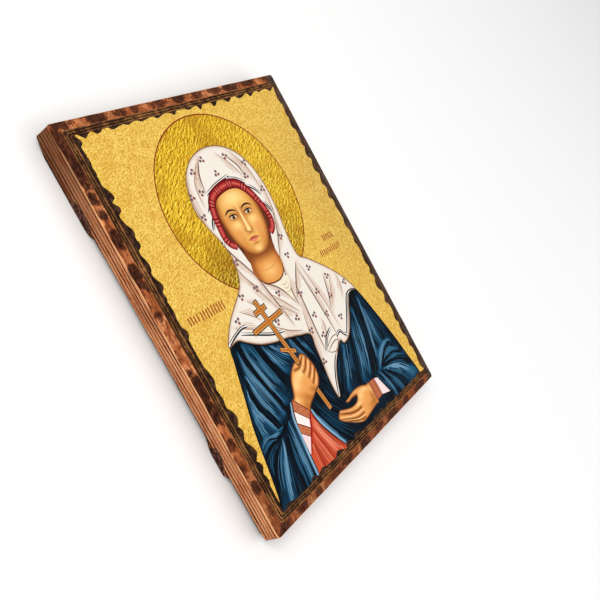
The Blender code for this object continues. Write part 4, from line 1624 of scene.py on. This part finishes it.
def dress_areas(robe, draw, settings):
    """The red dress, and the robe's pale and dark edges on both sides of it."""
    dress = Area(DRESS_OUTLINE, in_255(settings.dress), holder=robe)
    areas = [dress] + hatch_areas(DRESS_FOLDS, dress_tone, 1.1, dress, draw, 3)
    for _, knots in DRESS_FOLDS[1::2]:
        areas.append(Area(brush(knots, 1.4, 0.2, 0.5), (150, 30, 18), holder=dress))
    left, right = DRESS_OUTLINE[:5], DRESS_OUTLINE[6:]
    for edge, shift in ((left, -1.6), (right, 1.6)):
        beside = [(x + shift, y) for x, y in edge]
        areas.append(Area(brush(beside, 2.2, 0.4, 0.8), (128, 166, 190), holder=robe))
        areas.append(Area(brush(edge, 1.1, 0.5, 0.8), (6, 10, 20), holder=robe))
    return areas


def fold_line_areas(veil):
    """A line along each fold of the veil, and three paler ones on its shaded side."""
    areas = []
    for strength, side, knots in VEIL_FOLDS:
        line = even_line(knots, 22)
        tone = (104, 80, 68) if strength > 0.75 else (160, 126, 104)
        areas.append(Area(brush(line, 0.6 + 0.8 * strength, 0.1, 0.1, per=1), tone, holder=veil))
        for n in range(3):
            moved = (line + aside_of(line) * side * (1.5 + 1.6 * n))[1 + 3 * n : -2 - 2 * n]
            areas.append(Area(brush(moved, 0.7, 0.1, 0.1, per=1), (198, 164, 142), holder=veil))
    return areas


def hem_areas(veil):
    """Each hem: a white strip between a dark line and a finer grey one."""
    areas = []
    for hem in VEIL_HEMS:
        line = even_line(hem, 12)
        across = aside_of(line)
        areas.append(Area(strip(line + across * 0.85, 0.6), (250, 244, 236), holder=veil))
        areas.append(Area(brush(line, 1.5, 0.4, 0.4, per=1), (22, 26, 36), holder=veil))
        areas.append(Area(brush(line + across * 1.7, 0.9, 0.3, 0.3, per=1), (84, 76, 72), holder=veil))
    return areas


# The shirt at the neck, and the veil's knot on the breast with the shadow inside it.
SHIRT = ((-9, -9.5), (-5, -8), (5, -6), (8, -8), (3, -18), (1, -26), (-4, -17))
KNOT = ((7, -76), (14, -72), (22, -69.5), (27, -71), (24, -77), (18, -81), (11, -80))
KNOT_SHADOW = ((8, -77.5), (15, -75), (22, -73.5), (26, -74.5))


def veil_areas(linen):
    """The white veil with its fold lines and hems, the shirt at its opening, and its knot."""

    def paint(spots):
        return paint_veil(spots, linen)

    edge = curve(VEIL_OUTLINE, 4, True)
    veil = Area(edge, paint, 1.1)
    areas = [veil, Area(brush(closed(edge), 0.9, 1, 1, per=1), (128, 94, 72))]
    areas += fold_line_areas(veil) + hem_areas(veil)
    areas.append(Area(curve(SHIRT, 3, True), (238, 226, 200), holder=veil))
    for n in range(3):
        y = -11 - 3.4 * n
        stitch = [(-4 + n, y + 1), (0, y - 1), (4, y + 1)]
        areas.append(Area(brush(stitch, 0.6), (150, 146, 120), holder=veil))
    knot = curve(KNOT, 3, True)
    areas.append(Area(knot, paint, 1.1, holder=veil))
    areas.append(Area(brush(closed(knot), 0.9, 0.6, 0.6, per=1), (116, 88, 74), holder=veil))
    areas.append(Area(brush(KNOT_SHADOW, 1.2, 0.1, 0.1), (150, 118, 98), holder=veil))
    return areas


def sprig_areas():
    """Small sprigs of three dots, scattered over the veil."""
    draw = random.Random("sprigs")
    areas = []
    tones = ((138, 108, 112), (122, 98, 108), (160, 104, 96))
    for x, y in SPRIGS:
        turn = draw.uniform(0, 120)
        for n, tone in enumerate(tones):
            angle = math.radians(turn + 120 * n)
            spot = (x + 1.9 * math.cos(angle), y + 1.9 * math.sin(angle))
            areas.append(Area(disc(*spot, 1.45, 1.35, 12), tone))
            areas.append(Area(disc(*spot, 0.7, count=8), tuple(0.72 * part for part in tone)))
    return areas


# Rows of strokes: from x to x, the middle's y and the height.
STROKE_ROWS = ((-110, -101, 0, 7), (-97, -73, -0.5, 8), (75, 92, 5, 7), (62, 92, -6, 6))
STROKE_PITCH = 3.0


def stroke_row_areas():
    """Rows of short upright strokes on the gold ground, beside the figure."""
    draw = random.Random("strokes")
    areas = []
    for start, end, y, height in STROKE_ROWS:
        x = start
        while x <= end:
            lean = draw.uniform(-0.3, 0.3)
            top = y + height / 2 - draw.uniform(0, 0.8)
            foot = y - height / 2 + draw.uniform(0, 0.8)
            areas.append(Area(bar((x, foot), (x + lean, top), 1.2), (150, 58, 32)))
            x += STROKE_PITCH
    return areas


def painted_areas(sheet_outline, settings):
    """All areas in the order in which they are painted."""
    radius = settings.halo_radius * 1000
    half_line = settings.halo_line * 500
    ring = disc(HALO_X, HALO_Y, radius + half_line, count=140)
    halo = disc(HALO_X, HALO_Y, radius - half_line, count=140)
    gold, halo_gold = in_255(settings.gold), in_255(settings.halo_gold)
    areas = [
        Area(sheet_outline, lambda spots: paint_ground(spots, gold), 3.2, gilt=1.0),
        Area(ring, (132, 52, 24)),
        Area(halo, lambda spots: paint_halo(spots, halo_gold), 2.4, gilt=1.0, hammered=1.0),
    ]
    areas += robe_areas(settings) + veil_areas(in_255(settings.linen)) + head_areas()
    areas += sprig_areas() + limb_areas() + stroke_row_areas()
    return areas


def fill_points(areas):
    """Points inside the areas, each on the lattice of the topmost area there."""
    found = []
    for number, area in enumerate(areas):
        if area.pitch is None:
            continue
        low, high = area.outline.min(0), area.outline.max(0)
        rise = area.pitch * math.sqrt(3) / 2
        rows = np.arange(low[1], high[1], rise)
        spots = [
            (x, y)
            for row, y in enumerate(rows)
            for x in np.arange(low[0] + (row % 2) * area.pitch / 2, high[0], area.pitch)
        ]
        spots = np.array(spots)
        spots = spots[inside(spots, area.outline)]
        for later in areas[number + 1 :]:
            if len(spots):
                spots = spots[~inside(spots, later.outline)]
        found.append(spots)
    return np.concatenate(found)


# The sheet's rim: distance between its points, how ragged it is, and its rounded lip.
RIM_STEP = 0.8
RAGGED = 0.16
LIP_WIDTH = 0.55
LIP_DROP = 0.3
# The masks that the picture's finish reads.
PICTURE_MASKS = ("gilt", "hammered", "hatch")


def sheet_lines():
    """The sheet's torn edge, and the line inside it where its front becomes flat."""
    places = rim_places(RIM_STEP)
    edge, lip = [], []
    for place, point in zip(places, torn_points(places)):
        toward = (rim_point(place, LEDGE_INSET + 6) - rim_point(place, LEDGE_INSET)).normalized()
        spot = point + toward * (RAGGED * (1 + speckle(point.x, point.y, 0, 1.3, 1.9)))
        edge.append(tuple(spot))
        lip.append(tuple(spot + toward * LIP_WIDTH))
    return np.array(edge), np.array(lip)


def triangles_of(areas, lip):
    """The areas cut into triangles: the spots, the triangles and the area that each belongs to."""
    vertices, loops = [], []
    for area in areas:
        loops.append(list(range(len(vertices), len(vertices) + len(area.outline))))
        vertices += [Vector(spot) for spot in area.outline]
    vertices += [Vector(spot) for spot in lip]
    vertices += [Vector(spot) for spot in fill_points(areas)]
    cut = geometry.delaunay_2d_cdt(vertices, [], loops, 1, 1e-4, True)
    spots, triangles, sources = cut[0], cut[2], cut[5]
    kept = [(corners, source) for corners, source in zip(triangles, sources) if 0 in source]
    shown = [topmost(source, areas) for _, source in kept]
    return np.array([tuple(spot) for spot in spots]), [corners for corners, _ in kept], shown


def paint_corners(mesh, areas, spots, owner):
    """Keeps the paint, the masks and the brush's flow on the mesh, for each corner's area."""
    colours = np.ones((len(owner), 4))
    masks = {key: np.zeros(len(owner)) for key in PICTURE_MASKS}
    flow = np.zeros((len(owner), 3))
    for number, area in enumerate(areas):
        mine = np.nonzero(owner == number)[0]
        if not len(mine):
            continue
        colours[mine, :3] = linear(np.clip(area.paint(spots[mine]), 0, 255))
        for key in masks:
            masks[key][mine] = area.masks.get(key, 0.0)
        if area.folds:
            flow[mine] = flow_along(spots[mine], area.folds)
    mesh.attributes.new("paint", "FLOAT_COLOR", "CORNER").data.foreach_set("color", colours.ravel())
    for key, values in masks.items():
        mesh.attributes.new(key, "FLOAT", "CORNER").data.foreach_set("value", values)
    mesh.attributes.new("flow", "FLOAT_VECTOR", "CORNER").data.foreach_set("vector", flow.ravel())


def picture_mesh(name, settings):
    """The flat sheet of painted areas, with a rounded torn edge, a skirt and a back."""
    edge, lip = sheet_lines()
    areas = painted_areas(edge, settings)
    spots, triangles, shown = triangles_of(areas, lip)
    rim = np.abs(measure(spots, closed(edge))[0])
    level = SHEET_HIGH.z - LIP_DROP * (1 - smooth(rim, 0.0, LIP_WIDTH))
    mesh = bpy.data.meshes.new(name)
    vertices = [(x * 0.001, y * 0.001, z * 0.001) for (x, y), z in zip(spots, level)]
    mesh.from_pydata(vertices, [], triangles)
    corners = [corner for triangle in triangles for corner in triangle]
    paint_corners(mesh, areas, spots[corners], np.repeat(shown, 3))
    lie_flat(mesh)
    close_below(mesh)
    return mesh


def lie_flat(mesh):
    """Lays the picture out flat, in a square as high as the board."""
    layer = mesh.uv_layers.new(name="OFBake")
    for corner in mesh.loops:
        spot = mesh.vertices[corner.vertex_index].co * 1000
        layer.data[corner.index].uv = [0.5 + along / (2 * HALF_HEIGHT) for along in spot[:2]]


def flow_along(spots, folds):
    """For each corner of each triangle, its place across and along the fold nearest the triangle."""
    middles = spots.reshape(-1, 3, 2).mean(axis=1)
    measured = [measure(middles, line)[0] for line in folds]
    nearest = np.argmin(np.abs(np.array(measured)), axis=0).repeat(3)
    flow = np.zeros((len(spots), 3))
    for number, line in enumerate(folds):
        mine = nearest == number
        if mine.any():
            across, along = measure(spots[mine], line)
            flow[mine] = np.stack([across, along, np.full(len(across), number * 7.3)], axis=1)
    return flow


def close_below(mesh):
    """Turns the sheet's rim down and closes it underneath."""
    shape = bmesh.new()
    shape.from_mesh(mesh)
    loose = [vertex for vertex in shape.verts if not vertex.link_faces]
    bmesh.ops.delete(shape, geom=loose, context="VERTS")
    rim = [edge for edge in shape.edges if edge.is_boundary]
    made = bmesh.ops.extrude_edge_only(shape, edges=rim)["geom"]
    lowered = [part for part in made if isinstance(part, bmesh.types.BMVert)]
    for vertex in lowered:
        vertex.co.z = SHEET_LOW.z * 0.001
    below = [edge for edge in shape.edges if edge.is_boundary]
    bmesh.ops.edgeloop_fill(shape, edges=below)
    bmesh.ops.recalc_face_normals(shape, faces=shape.faces)
    # The skirt and the back lie in a narrow strip beside the picture.
    layer = shape.loops.layers.uv["OFBake"]
    for face in shape.faces:
        if face.normal.z < 0.5:
            for corner in face.loops:
                spot = corner.vert.co * 1000
                beside = 0.94 + 0.05 * spot.x / HALF_WIDTH
                corner[layer].uv = (beside, 0.5 + spot.y / (2 * HALF_HEIGHT))
    shape.to_mesh(mesh)
    shape.free()


def picture_finish():
    """Gold leaf, hammered in the halo, with painted light and shade on its flecks and dents, and paint laid
    in fine strokes under a thin varnish.
    """
    skin = Finish("gilded_paint", Specular_IOR_Level=0.05, Coat_Roughness=0.4)
    spot = skin.place()
    paint = skin.painted("paint")
    gilt = skin.mask("gilt")
    hammered = skin.mask("hammered")

    weave = skin.grain(spot, (1.3, 1.3, 1.3), 3, 0.7)
    weave_aside = skin.grain(skin.shifted(spot, (0.35, -0.3, 0)), (1.3, 1.3, 1.3), 3, 0.7)
    # The gold's own speckle, with painted light and shade as if its flecks were lit from one side.
    fleck = (weave - weave_aside) * 2.0 + (weave - 0.5) * 2.6
    x, y = skin.parts(spot)[:2]
    leaning = skin.joined(x * 0.83 + y * 0.56, y * 0.83 - x * 0.56, 0.0)
    dent_size = (4.2, 1.9, 1.0)
    dent = skin.grain(leaning, dent_size, 3, 0.65, 0.5)
    dent_aside = skin.grain(skin.shifted(leaning, (0.3, -0.6, 0)), dent_size, 3, 0.65, 0.5)
    # Painted light and shade of the hammered dents, bright on one side and dark on the other.
    ripple_light_and_shade = (dent - dent_aside) * 3.4 + (dent - 0.5) * 1.4
    speckle_and_glint = fleck * (1 - hammered) + (ripple_light_and_shade + fleck * 0.3) * hammered
    patch = skin.grain(spot, (9, 9, 9), 3, 0.6)
    # Darker and brighter gold: the gold's own speckle, with painted shade and painted highlights.
    low = skin.mix((178, 122, 28), (112, 70, 2), hammered)
    high = skin.mix((255, 224, 130), (255, 232, 84), hammered)
    gold = skin.mix(paint, low, skin.step(speckle_and_glint, 0.0, -0.5) * 0.9)
    gold = skin.mix(gold, high, skin.step(speckle_and_glint, 0.04, 0.55) * 0.9)
    gold = skin.mix(gold, (204, 146, 36), skin.step(patch, 0.48, 0.68) * 0.35)
    cloud = skin.grain(spot, (24, 18, 9), 2, 0.5)
    gold = skin.mix(gold, (166, 110, 6), skin.step(cloud, 0.5, 0.66) * hammered * 0.45)

    hatch = skin.mask("hatch")
    flow = skin.arrow("flow")
    hair = skin.grain(flow, (0.6, 26, 1.0), 2, 0.6)
    dark_line = skin.step(hair, 0.46, 0.3) * hatch
    light_line = skin.step(hair, 0.56, 0.72) * hatch
    strokes = skin.mix(paint, skin.tint(paint, (150, 160, 175)), dark_line * 0.9)
    strokes = skin.mix(strokes, (96, 142, 170), light_line * 0.3)
    base = skin.mix(strokes, gold, gilt)

    tooth = skin.grain(spot, (0.7, 0.7, 0.7), 2)
    relief = tooth * 0.2 + weave * gilt * 0.3 + dent * hammered * 0.6 + hair * hatch * 0.3
    gloss = 0.56 - gilt * 0.1 + tooth * 0.08
    skin.surface(
        Base_Color=base,
        Metallic=gilt * 0.15,
        Roughness=gloss,
        Normal=skin.bump(relief, 0.3, 0.5),
        Coat_Weight=gilt * 0.04,
    )
    return skin.material


# The stage.

# The camera's place in metres and its directions, fitted to the board's straight edges.
CAMERA_SPOT = (-0.46785, 0.01425, 0.41970)
CAMERA_RIGHT = (0.53658, -0.47721, 0.69595)
CAMERA_UP = (0.35363, 0.87599, 0.32801)
CAMERA_BACK = (-0.76618, 0.07010, 0.63879)


def make_camera(settings):
    """The camera at the photograph's viewing angle."""
    camera = bpy.data.objects.new("camera", bpy.data.cameras.new("camera"))
    camera.data.lens = settings.lens
    camera.data.sensor_width = 36
    turn = Matrix((CAMERA_RIGHT, CAMERA_UP, CAMERA_BACK)).transposed().to_4x4()
    camera.matrix_world = Matrix.Translation(CAMERA_SPOT) @ turn
    bpy.context.scene.collection.objects.link(camera)
    bpy.context.scene.camera = camera


def make_light(name, spot, size, power, warmth):
    """A soft square light that faces the panel."""
    light = bpy.data.lights.new(name, "AREA")
    light.size = size
    light.energy = power
    light.color = warmth
    lamp = bpy.data.objects.new(name, light)
    lamp.location = spot
    lamp.rotation_euler = (-Vector(spot)).to_track_quat("-Z", "Y").to_euler()
    bpy.context.scene.collection.objects.link(lamp)


def make_floor(settings):
    """A wide pale floor."""
    shape = bmesh.new()
    bmesh.ops.create_grid(shape, x_segments=8, y_segments=8, size=settings.floor_half)
    mesh = bpy.data.meshes.new("floor")
    shape.to_mesh(mesh)
    shape.free()
    finish = Finish("pale_floor", Roughness=0.9, Specular_IOR_Level=0.1)
    finish.surface(Base_Color=(*settings.floor_colour, 1))
    mesh.materials.append(finish.material)
    floor = bpy.data.objects.new("floor", mesh)
    bpy.context.scene.collection.objects.link(floor)


def make_world(settings):
    """Even white light from all round."""
    world = bpy.data.worlds.new("studio")
    world.use_nodes = True
    sky = world.node_tree.nodes["Background"]
    sky.inputs["Color"].default_value = (1, 1, 1, 1)
    sky.inputs["Strength"].default_value = settings.sky
    bpy.context.scene.world = world
    bpy.context.scene.view_settings.view_transform = "Standard"


def add_piece(name, mesh, material, node):
    """A piece that stands for a CAD node and takes its slot's finish."""
    mesh.materials.clear()
    mesh.materials.append(material)
    piece = bpy.data.objects.new(name, mesh)
    bpy.context.scene.collection.objects.link(piece)
    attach(piece, "root")
    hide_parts(node)
    return piece


def colour_property(name, description, red, green, blue):
    """A colour that a user would change, given in 0 to 255 and kept as shares of full light."""
    shares = {"default": (red / 255, green / 255, blue / 255), "min": 0.0, "max": 1.0}
    return FloatVectorProperty(name=name, description=description, subtype="COLOR_GAMMA", **shares)


def size_property(name, description, size, least):
    """A size that a user would change, given in mm and kept in metres."""
    metres = {"default": size / 1000, "min": least / 1000, "precision": 5, "unit": "LENGTH"}
    return FloatProperty(name=name, description=description, **metres)


class BoardSettings(bpy.types.PropertyGroup):
    """Sizes and colours of the board."""

    step: size_property("Step", "Distance between points along the rim", 0.95, 0.5)
    wood_pale: colour_property("Pale Wood", "Early wood", 228, 148, 96)
    wood_orange: colour_property("Orange Wood", "Stained early wood", 188, 98, 52)


class PictureSettings(bpy.types.PropertyGroup):
    """Sizes and colours of the picture."""

    halo_radius: size_property("Halo Radius", "Radius of the halo", 76.5, 60)
    halo_line: size_property("Halo Line", "Width of the line round the halo", 1.1, 0.2)
    gold: colour_property("Gold", "The gold ground", 233, 192, 82)
    halo_gold: colour_property("Halo Gold", "The halo's deeper gold", 222, 170, 26)
    linen: colour_property("Linen", "The white veil", 234, 226, 215)
    dress: colour_property("Dress", "The red dress", 200, 78, 44)


class StageSettings(bpy.types.PropertyGroup):
    """The floor, the camera and the light."""

    floor_half: size_property("Floor", "Half the floor's width", 6000, 500)
    floor_colour: FloatVectorProperty(
        name="Floor Colour",
        description="Colour of the floor",
        default=(0.93, 0.93, 0.93),
        size=3,
        subtype="COLOR",
    )
    lens: FloatProperty(name="Lens", description="Focal length", default=45.6, unit="CAMERA")
    sky: FloatProperty(name="Sky", description="Strength of the even light", default=0.68)
    key: FloatProperty(name="Key", description="Light at the left", default=13.0, unit="POWER")
    fill: FloatProperty(name="Fill", description="Light at the right", default=7.0, unit="POWER")


class ICONPANEL_OT_board(bpy.types.Operator):
    """Make the pine board over its solid"""

    bl_idname = "iconpanel.board"
    bl_label = "Make Board"

    def execute(self, context):
        settings = context.scene.icon_board
        rings = BoardRings(settings.step * 1000)
        rings.under_sheet()
        rings.chipped_ledge()
        rings.front_margin()
        rings.side_faces()
        rings.back_edge()
        add_piece("hewn_board", rings.mesh("hewn_board"), PineFinish(settings).dress(), "board")
        return {"FINISHED"}


class ICONPANEL_OT_picture(bpy.types.Operator):
    """Make the gilded and painted picture"""

    bl_idname = "iconpanel.picture"
    bl_label = "Make Picture"

    def execute(self, context):
        settings = context.scene.icon_picture
        mesh = picture_mesh("gilded_picture", settings)
        add_piece("gilded_picture", mesh, picture_finish(), "picture_sheet")
        return {"FINISHED"}


class ICONPANEL_OT_stage(bpy.types.Operator):
    """Set the floor, the camera and the lights"""

    bl_idname = "iconpanel.stage"
    bl_label = "Set Stage"

    def execute(self, context):
        settings = context.scene.icon_stage
        make_floor(settings)
        make_world(settings)
        make_light("key", (-0.9, 0.7, 1.2), 0.9, settings.key, (1.0, 0.97, 0.93))
        make_light("fill", (0.7, -0.9, 1.3), 1.4, settings.fill, (0.95, 0.97, 1.0))
        make_camera(settings)
        return {"FINISHED"}


class ICONPANEL_PT_panel(bpy.types.Panel):
    """The icon panel's operators and settings"""

    bl_idname = "ICONPANEL_PT_panel"
    bl_label = "Icon Panel"
    bl_space_type = "VIEW_3D"
    bl_region_type = "UI"
    bl_category = "Icon Panel"

    def draw(self, context):
        for group, operator in (
            (context.scene.icon_board, "iconpanel.board"),
            (context.scene.icon_picture, "iconpanel.picture"),
            (context.scene.icon_stage, "iconpanel.stage"),
        ):
            box = self.layout.box()
            for name in type(group).__annotations__:
                box.prop(group, name)
            box.operator(operator)


CLASSES = (
    BoardSettings,
    PictureSettings,
    StageSettings,
    ICONPANEL_OT_board,
    ICONPANEL_OT_picture,
    ICONPANEL_OT_stage,
    ICONPANEL_PT_panel,
)


def register():
    for cls in CLASSES:
        bpy.utils.register_class(cls)
    bpy.types.Scene.icon_board = PointerProperty(type=BoardSettings)
    bpy.types.Scene.icon_picture = PointerProperty(type=PictureSettings)
    bpy.types.Scene.icon_stage = PointerProperty(type=StageSettings)


def unregister():
    del bpy.types.Scene.icon_stage
    del bpy.types.Scene.icon_picture
    del bpy.types.Scene.icon_board
    for cls in reversed(CLASSES):
        bpy.utils.unregister_class(cls)


def main():
    """Makes the stage and both pieces."""
    register()
    bpy.ops.iconpanel.stage()
    bpy.ops.iconpanel.board()
    bpy.ops.iconpanel.picture()


if __name__ == "__main__":
    main()
